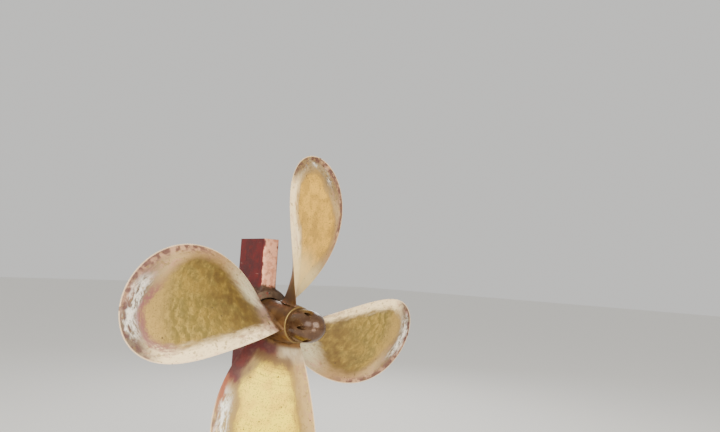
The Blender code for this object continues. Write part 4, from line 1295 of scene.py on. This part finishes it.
# %% Which blade a point is on: quarter turns from the uppermost one, clockwise seen from aft
NEARLY = 0.1
SWEEP_PER_METRE = BLADE_SIZES["Sweep"] / BLADE_SIZES["Radius"]
AT_ROOT = BLADE_SIZES["Rest Turn"] + BLADE_SIZES["Sweep"]
spot_on = add(tree, SEPARATE, (where,))
height_over = add(tree, MATH, (spot_on.outputs["Z"], AXIS.z), operation="SUBTRACT")
turned_by = add(tree, MATH, (spot_on.outputs["X"], height_over), operation="ARCTAN2")
turned_by = add(tree, MATH, (outward, SWEEP_PER_METRE, turned_by), operation="MULTIPLY_ADD")
turned_by = add(tree, MATH, (turned_by, AT_ROOT), operation="SUBTRACT")
quarter = add(tree, MATH, (turned_by, pi / 2), operation="DIVIDE")
quarter = add(tree, MATH, (quarter,), operation="ROUND")
half_turn = add(tree, MATH, (quarter,), operation="ABSOLUTE")
top_blade = every(tree, add(tree, MATH, (quarter, 0.0, NEARLY), operation="COMPARE"), on_blade)
port_blade = every(tree, add(tree, MATH, (quarter, -1.0, NEARLY), operation="COMPARE"), on_blade)
low_blade = every(tree, add(tree, MATH, (half_turn, 2.0, NEARLY), operation="COMPARE"), on_blade)
print("blades told apart,", len(tree.nodes), "nodes")

# %% Zones of a blade
leading = every(tree, (chordwise, -0.05, 0.05))
trailing = add(tree, MATH, (1.0, leading), operation="SUBTRACT")
to_tip = every(tree, (outward, 0.66, 0.79))
to_shoulder = every(tree, (outward, 0.56, 0.72))
to_root = every(tree, (outward, 0.48, 0.18))
near_hub = every(tree, (outward, 0.215, 0.125), on_blade)
print("zones,", len(tree.nodes), "nodes")

# %% [markdown]
# Water runs along the rim, so everything that grows there is drawn out along it. A cloud in four
# dimensions does that: three are the place, and the fourth is the distance from the edge, which changes
# the cloud several times faster than the place does. The result is streaks that follow the rim round.

# %% A cloud that follows the rim
FLOW_SIZE = 0.060
FINE_FLOW_SIZE = 0.020
FLOW_DRAWN_OUT = 3.0
FRAY = 0.070
across_flow = add(tree, MATH, (inside, FLOW_DRAWN_OUT), operation="MULTIPLY")
streaks = {"Vector": where, "W": across_flow, "Detail": 7.0, "Roughness": 0.62}
flow = add(tree, NOISE, streaks | {"Scale": 1 / FLOW_SIZE}, noise_dimensions="4D")
fine_flow = add(tree, NOISE, streaks | {"Scale": 1 / FINE_FLOW_SIZE}, noise_dimensions="4D")
frayed = add(tree, MATH, (flow, FRAY, -FRAY / 2), operation="MULTIPLY_ADD")
frayed = add(tree, MATH, (frayed, inside), operation="ADD")
print("clouds along the rim,", len(tree.nodes), "nodes")

# %% Scoured metal in the middle: its mottles are swept out along the chord, as the water runs
CHORDWISE_SHORTENED = 0.75
GOLD = Film("#a08339", 0.55, 0.42)
OLIVE = Film("#837036", 0.50, 0.46)
PALE_MOTTLE = Film("#c2a24c", 0.50, 0.42, 0.58)
DARK_MOTTLE = Film("#5c4a20", 0.50, 0.46, 0.50)
PALE_END = Film("#b28f4c", 0.45, 0.46, 0.70)
short_chord = add(tree, MATH, (chordwise, CHORDWISE_SHORTENED), operation="MULTIPLY")
swept = add(tree, COMBINE, (short_chord, outward, quarter))
film = pile(tree, where, GOLD, (OLIVE, Cloud(0.10, 0.42, 0.60)))
mottles = (PALE_MOTTLE, Cloud(0.020, 0.42, 0.68)), (DARK_MOTTLE, Cloud(0.013, 0.50, 0.70))
film = pile(tree, swept, film, *mottles)
film = lay(tree, film, PALE_END, (outward, 0.60, 0.72))
print("scoured metal laid,", len(tree.nodes), "nodes")

# %% Brown gains on gold from the tip's trailing side down to the leading root
CHORD_PER_SPAN = -0.75
BROWN_GAIN = Film("#614822", 0.50, 0.44, 0.88)
diagonal = add(tree, MATH, (chordwise, CHORD_PER_SPAN, outward), operation="MULTIPLY_ADD")
clouded = patches(tree, where, Cloud(0.045, 0.18, 0.64))
film = lay(tree, film, BROWN_GAIN, (diagonal, 0.62, 0.34), clouded)
print("brown laid,", len(tree.nodes), "nodes")

# %% The lowest blade is drawn brightest: partly scoured metal, partly painted light from the pale ground below. The uppermost one is scoured nearly as bright
LOW_LIT_METAL = Film("#c4a032", 0.40, 0.46, 0.85)
LOW_LIT_YELLOW = Film("#ffe22c", 0.0, 0.46)
LOW_LIT_AMBER = Film("#e3b92c", 0.10, 0.42, 0.75)
LOW_SCOURED_AND_LIT = 0.90
TOP_GOLD = Film("#f6bd44", 0.25, 0.44)
TOP_AMBER = Film("#c29438", 0.35, 0.42, 0.75)
TOP_BRIGHT = 0.85
SPECK = Film("#6f5e2c", 0.40, 0.55, 0.60)
BROAD = Cloud(0.060, 0.40, 0.66)
# The lowest blade's pale yellow is partly painted light, as if thrown up from the ground
film = lay(tree, film, LOW_LIT_METAL, low_blade)
bright = pile(tree, where, LOW_LIT_YELLOW, (LOW_LIT_AMBER, BROAD))
film = lay(tree, film, bright, low_blade, (outward, 0.17, 0.27), LOW_SCOURED_AND_LIT)
bright = pile(tree, where, TOP_GOLD, (TOP_AMBER, BROAD))
film = lay(tree, film, bright, top_blade, TOP_BRIGHT)
film = lay(tree, film, SPECK, patches(tree, where, Cloud(0.006, 0.54, 0.66, 2.0)), on_face)
print("bright blades laid,", len(tree.nodes), "nodes")

# %% Fine scour lines along the chord, low on the blades
LINE_LENGTH = 0.16
LINE_SPACING = 0.007
LINE = Film("#6b5528", 0.45, 0.50, 0.40)
line_scale = (1 / LINE_LENGTH, 1 / LINE_SPACING, 1.0)
line_space = add(tree, MAPPING, {"Vector": plan, "Scale": line_scale})
lines = add(tree, NOISE, {"Vector": line_space, "Scale": 1.0, "Detail": 2.0})
film = lay(tree, film, LINE, (lines, 0.52, 0.66), (outward, 0.36, 0.26), (inside, 0.05, 0.09), on_face)
print("scour lines laid,", len(tree.nodes), "nodes")

# %% Scour marks like fish scales, on the trailing half: the root side of each cell is drawn as an arc
MARK_CHORDWISE = 0.036
MARK_OUTWARD = 0.048
MARK = Film("#6b5b24", 0.50, 0.50, 0.55)
mark_scale = (1 / MARK_CHORDWISE, 1 / MARK_OUTWARD, 1.0)
mark_space = add(tree, MAPPING, {"Vector": plan, "Scale": mark_scale})
cell = add(tree, "ShaderNodeTexVoronoi", {"Vector": mark_space, "Scale": 1.0, "Randomness": 0.7})
from_heart = add(tree, VECTOR_MATH, (mark_space, cell.outputs["Position"]), operation="SUBTRACT")
tipward = add(tree, SEPARATE, (from_heart,)).outputs["Y"]
bright_blades = add(tree, MATH, (low_blade, top_blade), operation="ADD")
others = add(tree, MATH, (1.0, bright_blades), operation="SUBTRACT")
an_arc = (cell, 0.20, 0.50), (tipward, 0.15, -0.20)
on_trailing_half = (outward, 0.32, 0.50), (outward, 0.70, 0.62), (chordwise, 0.06, -0.04)
marks = every(tree, *an_arc, *on_trailing_half, others, on_face)
film = lay(tree, film, MARK, marks)
print("scour marks laid,", len(tree.nodes), "nodes")

# %% The back of a blade is drawn browner and darker: painted shade, for the side that faces forward, away from the light
BACK_SHADE_BROWN = Film("#523f29", 0.50, 0.42, 0.90)
BACK_SHADE_OLIVE = Film("#73623a", 0.50, 0.46, 0.70)
film = lay(tree, film, BACK_SHADE_BROWN, on_back)
film = lay(tree, film, BACK_SHADE_OLIVE, on_back, patches(tree, where, Cloud(0.080, 0.48, 0.66)))
print("backs laid,", len(tree.nodes), "nodes")

# %% [markdown]
# ## Scale, wear and drifted paint
#
# The scale's inner border lies at a different depth round the blade: about 60 mm in along the trailing
# edge, 50 mm along the leading edge, twice that over the leading shoulder, and it fades inwards at the
# leading root. So the width is worked out first, and the cover is the frayed distance from the edge held
# against it. The scale's own colour changes too: cream behind, beige in front, white and tan at the tip.

# %% How wide the scale is, and how softly it ends
LEADING_WIDTH = 0.050
TRAILING_WIDTH = 0.058
BACK_SHARE = 0.5
FADE = 0.028
lead_root = every(tree, to_root, leading)
lead_face = every(tree, leading, on_face)
low_root = every(tree, low_blade, to_root)
low_belly = every(tree, low_blade, (outward, 0.34, 0.44))
top_foot = every(tree, top_blade, (outward, 0.56, 0.42))
wider_ahead = (to_root, 0.085), (to_shoulder, 0.060), (low_belly, 0.055)
narrower_ahead = (low_blade, -0.022), (low_root, -0.030)
lead_width = built_up(tree, LEADING_WIDTH, *wider_ahead, *narrower_ahead)
trail_width = built_up(tree, TRAILING_WIDTH, (to_tip, 0.022), (top_foot, 0.035))
widths = {"Factor": leading, "A": trail_width, "B": lead_width}
width = add(tree, "ShaderNodeMix", widths, data_type="FLOAT")
width = every(tree, width, (on_back, 0.0, 1.0, 1.0, BACK_SHARE))
fade = built_up(tree, FADE, (lead_root, 0.032), (lead_face, 0.006))
scale_start = add(tree, MATH, (width, fade), operation="ADD")
scale_full = add(tree, MATH, (width, fade), operation="SUBTRACT")
scaled = every(tree, (frayed, scale_start, scale_full), on_blade)
# No scale on the back's root, so the dark brown painted shade shows there
shaded_back_root = every(tree, on_back, (outward, 0.42, 0.28))
scaled = add(tree, MATH, (scaled, shaded_back_root), operation="SUBTRACT", use_clamp=True)
print("the scale's cover,", len(tree.nodes), "nodes")

# %% A tarnished border, where the scale has only stained the metal
STAIN = Film("#7c6136", 0.35, 0.52, 0.50)
LOW_STAIN = Film("#82632a", 0.20, 0.52, 0.80)
off_border = add(tree, MATH, (frayed, width), operation="SUBTRACT")
off_border = add(tree, MATH, (off_border,), operation="ABSOLUTE")
film = lay(tree, film, STAIN, (off_border, 0.036, 0.006), on_blade, on_face)
film = lay(tree, film, LOW_STAIN, (off_border, 0.060, 0.010), low_blade, on_face)
print("border laid,", len(tree.nodes), "nodes")

# %% What colour the scale is
CREAM = Film("#fde2ae", 0.0, 0.82)
BEIGE = Film("#9f7d4b", 0.05, 0.66)
SAND = Film("#ae9263", 0.0, 0.72)
ROOT_CHALK = Film("#d5cca6", 0.0, 0.76)
TIP_UMBER = Film("#473426", 0.05, 0.66, 0.92)
LOW_LEADING_TAN = Film("#a08a5c", 0.0, 0.76, 0.85)
LOW_TRAILING_TAN = Film("#a8884a", 0.0, 0.74, 0.90)
PINK_HAZE = Film("#b97f70", 0.0, 0.72, 0.45)
scale = lay(tree, CREAM, BEIGE, leading)
scale = lay(tree, scale, SAND, to_shoulder, leading)
scale = lay(tree, scale, ROOT_CHALK, lead_root)
scale = lay(tree, scale, TIP_UMBER, to_tip)
scale = lay(tree, scale, LOW_LEADING_TAN, low_blade, leading)
scale = lay(tree, scale, LOW_TRAILING_TAN, low_blade, trailing)
scale = lay(tree, scale, PINK_HAZE, (flow, 0.50, 0.66))
print("scale coloured,", len(tree.nodes), "nodes")

# %% Chalk in streaks, thickest a little inside the tip and on the lowest blade's leading side
TIP_CHALK = Film("#e2dccf", 0.0, 0.86, 0.92)
CHALK_SPOT = Film("#514c46", 0.0, 0.70, 0.70)
TOP_TIP_BROWN = Film("#846a3c", 0.20, 0.60, 0.90)
LOW_CHALK = Film("#fbfaf0", 0.0, 0.88)
both_flows = add(tree, MATH, (flow, fine_flow), operation="ADD")
chalk_band = every(tree, (frayed, 0.010, 0.030), (frayed, 0.088, 0.066), (both_flows, 0.84, 1.10))
tip_middle = (chordwise, -0.17, -0.09), (chordwise, 0.14, 0.07)
tip_chalk = every(tree, to_tip, *tip_middle, chalk_band)
scale = lay(tree, scale, TIP_CHALK, tip_chalk)
scale = lay(tree, scale, CHALK_SPOT, tip_chalk, patches(tree, where, Cloud(0.011, 0.58, 0.68)))
brown_cloud = patches(tree, where, Cloud(0.05, 0.30, 0.48))
scale = lay(tree, scale, TOP_TIP_BROWN, top_blade, to_tip, brown_cloud)
low_middle = (outward, 0.37, 0.48), (outward, 0.68, 0.58)
scale = lay(tree, scale, LOW_CHALK, low_blade, leading, chalk_band, *low_middle)
print("chalk laid,", len(tree.nodes), "nodes")

# %% Brown and purple blotches sit on the rim, mostly on the outer half
PINKISH = Film("#b78a6c", 0.0, 0.68, 0.60)
BLOTCH = Film("#4f2a28", 0.10, 0.60, 0.85)
BARE_SPOT = Film("#7f6738", 0.30, 0.56, 0.55)
ROOT_BROWN = Film("#8f6a4f", 0.05, 0.66, 0.50)
near_rim = every(tree, (frayed, 0.046, 0.018))
leading_or_tip = add(tree, MATH, (leading, to_tip), operation="MAXIMUM")
outer_rim = every(tree, near_rim, (outward, 0.44, 0.62, 0.10, 1.0), leading_or_tip)
scale = lay(tree, scale, PINKISH, outer_rim, leading)
scale = lay(tree, scale, BLOTCH, outer_rim, patches(tree, where, Cloud(0.034, 0.39, 0.53)))
scale = pile(tree, where, scale, (BARE_SPOT, Cloud(0.018, 0.58, 0.68)))
brown_cloud = patches(tree, where, Cloud(0.028, 0.44, 0.62))
scale = lay(tree, scale, ROOT_BROWN, to_root, trailing, brown_cloud)
print("blotches laid,", len(tree.nodes), "nodes")

# %% The scale goes on, worn through in streaks
LEFT_WHERE_WORN = 0.35
film = lay(tree, film, scale, scaled, (fine_flow, 0.54, 0.70, 1.0, LEFT_WHERE_WORN))
print("scale laid,", len(tree.nodes), "nodes")

# %% The uppermost blade is chalky all over towards its root, and every rim is rubbed to a pale line
TOP_CHALK = Film("#fbd98c", 0.05, 0.66, 0.75)
RUBBED = Film("#eccfa6", 0.15, 0.52, 0.75)
film = lay(tree, film, TOP_CHALK, top_blade, on_face, (outward, 0.42, 0.26))
film = lay(tree, film, RUBBED, (inside, 0.007, 0.002), on_blade)
print("rims rubbed,", len(tree.nodes), "nodes")

# %% Roots: pinkish chalk with brown spots on the face, and dark brown painted shade on the back
ROOT_PINK = Film("#95705c", 0.05, 0.68, 0.90)
BACK_ROOT_SHADE = Film("#4b3222", 0.30, 0.46, 0.90)
ROOT_SPOT = Film("#4a2d20", 0.20, 0.52, 0.85)
face_root = every(tree, near_hub, on_face)
film = lay(tree, film, ROOT_PINK, face_root, patches(tree, where, Cloud(0.040, 0.28, 0.54)))
# Painted shade: the back's root, which faces away from the light, is darkened to brown
film = lay(tree, film, BACK_ROOT_SHADE, near_hub, on_back)
film = lay(tree, film, ROOT_SPOT, face_root, patches(tree, where, Cloud(0.022, 0.57, 0.63)))
print("roots laid,", len(tree.nodes), "nodes")

# %% Paint that drifted on: a magenta line inside the port blade's tip
MAGENTA = Film("#74333e", 0.0, 0.66, 0.74)
along_border = (off_border, 0.030, 0.008), (fine_flow, 0.34, 0.50)
at_tip = (outward, 0.58, 0.68), (chordwise, 0.10, 0.03)
film = lay(tree, film, MAGENTA, port_blade, on_face, *along_border, *at_tip)
print("magenta line laid,", len(tree.nodes), "nodes")

# %% The lowest blade's root: chalk, with its borders wandering
WANDER = 0.08
LOW_ROOT_CHALK = Film("#a5916c", 0.0, 0.74, 0.85)
LOW_ROOT_WHITE = Film("#cbbd9f", 0.0, 0.80, 0.60)
wander = add(tree, MATH, (flow, WANDER, -WANDER / 2), operation="MULTIPLY_ADD")
wandered_out = add(tree, MATH, (outward, wander), operation="ADD")
wandered_chord = add(tree, MATH, (chordwise, wander), operation="ADD")
low_face = every(tree, low_blade, on_face)
root_chalk = every(tree, low_face, (wandered_out, 0.215, 0.140))
film = lay(tree, film, LOW_ROOT_CHALK, root_chalk)
film = lay(tree, film, LOW_ROOT_WHITE, root_chalk, trailing, (flow, 0.38, 0.62))
print("low root laid,", len(tree.nodes), "nodes")

# %% Paint on the lowest blade: purple round the root and up its leading side, then rust on the rim
RED_PURPLE = Film("#601c1e", 0.05, 0.58)
DARK_PURPLE = Film("#44141f", 0.05, 0.56)
WORN_PURPLE = Film("#8a5a48", 0.0, 0.64, 0.25)
PURPLE_HIDES = 0.96
BROWN_ARC = Film("#65482a", 0.30, 0.54, 0.80)
RUST = Film("#954429", 0.05, 0.62, 0.85)
up_lead = (wandered_out, 0.40, 0.34), (wandered_chord, -0.01, 0.06), (frayed, 0.090, 0.045)
round_root = (wandered_out, 0.215, 0.155), (wandered_chord, -0.045, 0.015)
up_lead = every(tree, low_face, *up_lead)
round_root = every(tree, low_face, *round_root)
purple = add(tree, MATH, (up_lead, round_root), operation="MAXIMUM")
over_red = (DARK_PURPLE, Cloud(0.05, 0.36, 0.64)), (WORN_PURPLE, Cloud(0.05, 0.50, 0.70))
film = lay(tree, film, pile(tree, where, RED_PURPLE, *over_red), purple, PURPLE_HIDES)
arc = (wandered_out, 0.15, 0.18), (wandered_out, 0.235, 0.19), (inside, 0.045, 0.075)
film = lay(tree, film, BROWN_ARC, low_face, *arc)
on_rim = (wandered_out, 0.34, 0.38), (wandered_out, 0.54, 0.42), (frayed, 0.042, 0.014)
film = lay(tree, film, RUST, low_face, leading, *on_rim)
print("paint and rust laid,", len(tree.nodes), "nodes")

# %% The hub, with a rubbed ring round its aft end
HUB_BROWN = Film("#5a3d22", 0.60, 0.36)
HUB_PALE = Film("#71512e", 0.55, 0.44)
HUB_DARK = Film("#3f2a1a", 0.40, 0.42, 0.60)
HUB_RING = Film("#7c6838", 0.60, 0.36)
from_end = add(tree, MATH, (spot_on.outputs["Y"], AXIS.y + HUB_AFT), operation="SUBTRACT")
off_axis = add(tree, COMBINE, (spot_on.outputs["X"], 0.0, height_over))
off_axis = add(tree, VECTOR_MATH, (off_axis,), operation="LENGTH").outputs["Value"]
at_end = (from_end, 0.0045, 0.0020)
outermost = (off_axis, HUB_AFT_RADIUS - 0.0045, HUB_AFT_RADIUS - 0.0030)
hub_clouds = (HUB_PALE, Cloud(0.05, 0.42, 0.62)), (HUB_DARK, Cloud(0.022, 0.56, 0.66))
hub_film = pile(tree, where, HUB_BROWN, *hub_clouds)
hub_film = lay(tree, hub_film, HUB_RING, at_end, outermost)
on_hub = add(tree, MATH, (1.0, on_blade), operation="SUBTRACT")
fillet_foot = every(tree, (outward, 0.128, 0.106))
on_hub = add(tree, MATH, (on_hub, fillet_foot), operation="MAXIMUM")
film = lay(tree, film, hub_film, on_hub)
print("hub laid,", len(tree.nodes), "nodes")

# %% Relief: sand-cast grain, scour marks, flaky scale and pits
PIT_SPACING = 0.050
PIT = Film("#3d2c1a", 0.20, 0.60, 0.75)
pit = add(tree, "ShaderNodeTexVoronoi", {"Vector": where, "Scale": 1 / PIT_SPACING})
pitted = every(tree, (pit, 0.10, 0.055))
flakes = every(tree, scaled, (fine_flow, 0.42, 0.58))
relief = grain(tree, where, size=0.0045, depth=0.00015)
relief = built_up(tree, relief, (flakes, 0.00045), (marks, -0.0003), (pitted, -0.0010))
close_finish(tree, lay(tree, film, PIT, pitted), relief)

# %% [markdown]
# ## The cap, the turned metals and the fittings
#
# The cap is the same bronze, never scoured: a glossy, nearly black brown. Turned metal shows the tool's
# rings round the shaft, which only depend on how far along the shaft a point is. Real feed marks are a
# fifth of a millimetre apart, too fine for the eye here, so they are drawn two millimetres apart.

# %% Cap
CAP_DARK = Film("#452d1b", 0.35, 0.17)
CAP_BROWN = Film("#523a26", 0.30, 0.25)
CAP_FLECK = Film("#6f5834", 0.60, 0.36, 0.60)
CAP_BRONZE, tree, where = new_finish("tarnished cap bronze")
over_dark = (CAP_BROWN, Cloud(0.035, 0.34, 0.68)), (CAP_FLECK, Cloud(0.009, 0.62, 0.70))
film = pile(tree, where, CAP_DARK, *over_dark)
close_finish(tree, film, grain(tree, where, size=0.012, depth=0.0006))

# %% Tool rings
RING_SPACING = 0.002
print("tool rings drawn", RING_SPACING, "m apart")


def tool_rings(tree, where, depth):
    """The height of fine rings round the shaft, uneven like a hand-fed cut."""
    forward = add(tree, SEPARATE, (where,)).outputs["Y"]
    uneven = {"W": forward, "Scale": 1 / RING_SPACING, "Detail": 2.0}
    rings = add(tree, NOISE, uneven, noise_dimensions="1D")
    return add(tree, MATH, (rings, depth), operation="MULTIPLY")


# %% Steel
# Turned mild steel under old oil: a grey sheen with duller fields, and rust where the oil has gone
BRIGHT_STEEL = Film("#8f9092", 1.0, 0.34)
OILED_STEEL = Film("#6f6a66", 1.0, 0.48)
STEEL_RUST = Film("#6d4128", 0.10, 0.82, 0.75)
STEEL, tree, where = new_finish("turned and oiled mild steel")
over_steel = (OILED_STEEL, Cloud(0.06, 0.42, 0.62)), (STEEL_RUST, Cloud(0.030, 0.56, 0.68))
film = pile(tree, where, BRIGHT_STEEL, *over_steel)
close_finish(tree, film, tool_rings(tree, where, depth=0.00012))

# %% Turned bronze
# Gunmetal off the lathe, kept clean by water and packing: yellow metal with a narrow sheen
TURNED_GOLD = Film("#c2964e", 1.0, 0.28)
TURNED_DULL = Film("#9a7340", 0.9, 0.42)
TURNED_BRONZE, tree, where = new_finish("turned gunmetal")
film = pile(tree, where, TURNED_GOLD, (TURNED_DULL, Cloud(0.05, 0.44, 0.64)))
close_finish(tree, film, tool_rings(tree, where, depth=0.00010))

# %% Dull bronze
# Gunmetal as cast, in damp air for years: brown and dull, with green verdigris in the wet spots
DULL_BROWN = Film("#7a5c36", 0.70, 0.46)
DULL_DARK = Film("#5b4429", 0.55, 0.55)
VERDIGRIS = Film("#6f7a58", 0.05, 0.80, 0.60)
DULL_BRONZE, tree, where = new_finish("dull cast gunmetal")
over_brown = (DULL_DARK, Cloud(0.03, 0.42, 0.60)), (VERDIGRIS, Cloud(0.020, 0.58, 0.70))
film = pile(tree, where, DULL_BROWN, *over_brown)
close_finish(tree, film, grain(tree, where, size=0.003, depth=0.0002))

# %% [markdown]
# ## Paint on the stern frame
#
# The casting's sides carry dark red bottom paint, brushed on thick over many seasons. The narrow face
# that looks aft has been blasted bare and primed: it is a pale pink with flaking borders. Round the rope
# guard nothing keeps the paint on, and the boss is brown.

# %% Boss: red paint
FRAY_SIZE = 0.035
RED = Film("#600704", 0.0, 0.50)
DARK_RED = Film("#4a0403", 0.0, 0.42)
FADED_RED = Film("#70160d", 0.0, 0.62, 0.60)
BOSS_PAINT, tree, where = new_finish("bottom paint on cast steel")
spot_on = add(tree, SEPARATE, (where,))
fraying = {"Vector": where, "Scale": 1 / FRAY_SIZE, "Detail": 6.0, "Roughness": 0.6}
fray = add(tree, NOISE, fraying)
over_red = (DARK_RED, Cloud(0.09, 0.42, 0.62)), (FADED_RED, Cloud(0.028, 0.56, 0.68))
film = pile(tree, where, RED, *over_red)
print("red paint laid,", len(tree.nodes), "nodes")

# %% Boss: primer on the post's aft face, brown on the boss
PRIMER = Film("#ffbc98", 0.0, 0.75)
DIRTY_PRIMER = Film("#dc9474", 0.0, 0.70)
BARE_BROWN = Film("#573f2d", 0.10, 0.60)
BARE_DARK = Film("#40291d", 0.10, 0.66)
POST_AFT = AXIS.y + BOSS_AFT
FRAY_FORWARD = 0.030
FRAY_UPWARD = 0.06
aft_fray = add(tree, MATH, (fray, FRAY_FORWARD, spot_on.outputs["Y"]), operation="MULTIPLY_ADD")
from_shaft = add(tree, MATH, (spot_on.outputs["Z"], AXIS.z), operation="SUBTRACT")
from_shaft = add(tree, MATH, (from_shaft,), operation="ABSOLUTE")
from_shaft = add(tree, MATH, (fray, FRAY_UPWARD, from_shaft), operation="MULTIPLY_ADD")
on_post = every(tree, (from_shaft, 0.190, 0.215))
off_post = add(tree, MATH, (1.0, on_post), operation="SUBTRACT")
primer = pile(tree, where, PRIMER, (DIRTY_PRIMER, Cloud(0.03, 0.45, 0.62)))
film = lay(tree, film, primer, (aft_fray, POST_AFT + 0.0235, POST_AFT + 0.0185), on_post)
brown = pile(tree, where, BARE_BROWN, (BARE_DARK, Cloud(0.03, 0.44, 0.60)))
film = lay(tree, film, brown, (aft_fray, POST_AFT + 0.085, POST_AFT + 0.060), off_post)
print("primer and brown laid,", len(tree.nodes), "nodes")

# %% Boss: scratches, the ground butt faces and the brush marks
SCRATCH = Film("#b9978a", 0.0, 0.70, 0.45)
GROUND_STEEL = Film("#8b8a88", 1.0, 0.42)
SCRATCHES_PER_METRE = (60.0, 18.0, 160.0)
SCRATCH_TURN = (0.35, 0.0, 0.2)
BRISTLES_PER_METRE = (300.0, 300.0, 30.0)
WITHIN = 0.0004
slanted = {"Vector": where, "Scale": SCRATCHES_PER_METRE, "Rotation": SCRATCH_TURN}
scratches = {"Vector": add(tree, MAPPING, slanted), "Scale": 1.0, "Detail": 1.0}
film = lay(tree, film, SCRATCH, (add(tree, NOISE, scratches), 0.73, 0.78))
above = add(tree, MATH, (spot_on.outputs["Z"], POST_TOP - WITHIN), operation="GREATER_THAN")
below = add(tree, MATH, (spot_on.outputs["Z"], POST_BOTTOM + WITHIN), operation="LESS_THAN")
film = lay(tree, film, GROUND_STEEL, add(tree, MATH, (above, below), operation="MAXIMUM"))
upright = add(tree, MAPPING, {"Vector": where, "Scale": BRISTLES_PER_METRE})
relief = grain(tree, upright, size=1.0, depth=0.0003, detail=2.0)
close_finish(tree, film, built_up(tree, relief, (fray, 0.0012)))

# %% Rope guard
# Brushed paint rubbed by sand and weed: flat brown with darker fields, and the red left in places
GUARD_BROWN = Film("#685340", 0.15, 0.58)
GUARD_DARK = Film("#4c3828", 0.15, 0.64)
GUARD_RED = Film("#7c2d22", 0.0, 0.62, 0.70)
GUARD_PAINT, tree, where = new_finish("worn paint on the guard")
over_brown = (GUARD_DARK, Cloud(0.03, 0.42, 0.60)), (GUARD_RED, Cloud(0.045, 0.56, 0.66))
film = pile(tree, where, GUARD_BROWN, *over_brown)
close_finish(tree, film, grain(tree, where, size=0.006, depth=0.0004))

# %% Rubber
# Moulded nitrile rubber: nearly black, with a soft sheen that dust takes off
BLACK_RUBBER = Film("#1c1c1d", 0.0, 0.62)
DUSTY_RUBBER = Film("#2c2a28", 0.0, 0.78)
RUBBER, tree, where = new_finish("nitrile rubber")
film = pile(tree, where, BLACK_RUBBER, (DUSTY_RUBBER, Cloud(0.02, 0.42, 0.62)))
close_finish(tree, film, grain(tree, where, size=0.002, depth=0.0001, detail=2.0))

# %% Packing
# Flax plaited square and soaked in grease: straw-coloured and shining, with the strands as ridges
FLAX = Film("#a8935f", 0.0, 0.60)
GREASE = Film("#6f5c36", 0.0, 0.45)
STRAND = 0.004
STRAND_DEPTH = 0.0004
WAVES_PER_SCALE = 20
PACKING, tree, where = new_finish("greased flax packing")
film = pile(tree, where, FLAX, (GREASE, Cloud(0.006, 0.44, 0.60)))
plaited = {"Vector": where, "Scale": 1 / STRAND / WAVES_PER_SCALE, "Distortion": 1.5}
strands = add(tree, "ShaderNodeTexWave", plaited)
close_finish(tree, film, add(tree, MATH, (strands, STRAND_DEPTH), operation="MULTIPLY"))

# %% [markdown]
# ## Everything gets its finish and its body
#
# A piece rides on the body that it belongs to, so that it turns with the shaft or stays with the
# frame. It also names the imported solids that it stands for. The pieces that nobody has to look at
# closely, such as the packing rings in their box, keep the imported solid and get a better finish.


# %% A piece's material, body and solids
def finish_piece(piece, body, slot, material, *nodes):
    """Give a piece its material, its body and the solids that it stands for. The finish slot is not used.
    """
    piece.data.materials.clear()
    piece.data.materials.append(material)
    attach(piece, body)
    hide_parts(*nodes)
    print(piece.name, "has", sum(len(p.vertices) - 2 for p in piece.data.polygons), "triangles")


def numbered(name, count):
    return [f"{name}_{i + 1}" for i in range(count)]


# %% Pieces on the shaft
grow(hub, law, BLADE_SIZES, BRONZE)
hub.name = "propeller"
hub.data.name = "propeller"
finish_piece(hub, "propeller_shaft", "propeller_bronze", BRONZE, "propeller_casting")
finish_piece(cap, "propeller_shaft", "cap_bronze", CAP_BRONZE, "boss_cap")
finish_piece(shaft, "propeller_shaft", "steel", STEEL, "tail_shaft")
finish_piece(liner, "propeller_shaft", "turned_bronze", TURNED_BRONZE, "shaft_liner")
bolt_nodes = numbered("cap_bolt", CAP_BOLT_RING.count)
finish_piece(cap_bolts(DULL_BRONZE), "propeller_shaft", "dull_bronze", DULL_BRONZE, *bolt_nodes)

# %% Pieces on the stern frame
finish_piece(boss, "stern_frame", "boss_paint", BOSS_PAINT, "stern_frame_boss")
finish_piece(guard_upper, "stern_frame", "boss_paint", GUARD_PAINT, "rope_guard_upper")
finish_piece(guard_lower, "stern_frame", "boss_paint", GUARD_PAINT, "rope_guard_lower")
finish_piece(tube, "stern_frame", "steel", STEEL, "stern_tube")
finish_piece(stuffing_box, "stern_frame", "dull_bronze", DULL_BRONZE, "stuffing_box")
finish_piece(gland, "stern_frame", "dull_bronze", DULL_BRONZE, "gland_follower")
bolt_nodes = numbered("box_bolt", BOX_BOLT_RING.count)
finish_piece(box_bolts(STEEL), "stern_frame", "steel", STEEL, *bolt_nodes)
stud_nodes = numbered("gland_stud", STUD_RING.count)
finish_piece(gland_studs(STEEL), "stern_frame", "steel", STEEL, *stud_nodes)
each_half = GUARD_SCREW_RING.count // 2
screw_nodes = numbered("guard_screw_upper", each_half) + numbered("guard_screw_lower", each_half)
finish_piece(guard_screws(STEEL), "stern_frame", "steel", STEEL, *screw_nodes)

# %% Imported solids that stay, with their finish
KEPT = {
    STEEL: ["propeller_key", "nut_lock_plate", "stern_tube_nut", "bush_keeper_ring"]
    + numbered("lock_screw", 2),
    DULL_BRONZE: ["propeller_nut"],
    TURNED_BRONZE: ["bearing_bush"],
    RUBBER: ["hub_seal_ring", "bearing_staves"],
    PACKING: numbered("gland_packing", 3),
}
for finish, names in KEPT.items():
    for name in names:
        for place in frame["nodes"][name].material_slots:
            place.material = finish
        print(name, "keeps its solid:", finish.name)

# %% The imported model's box
print("CAD box", [round(c, 4) for c in (*CAD_LOW, *CAD_HIGH)])
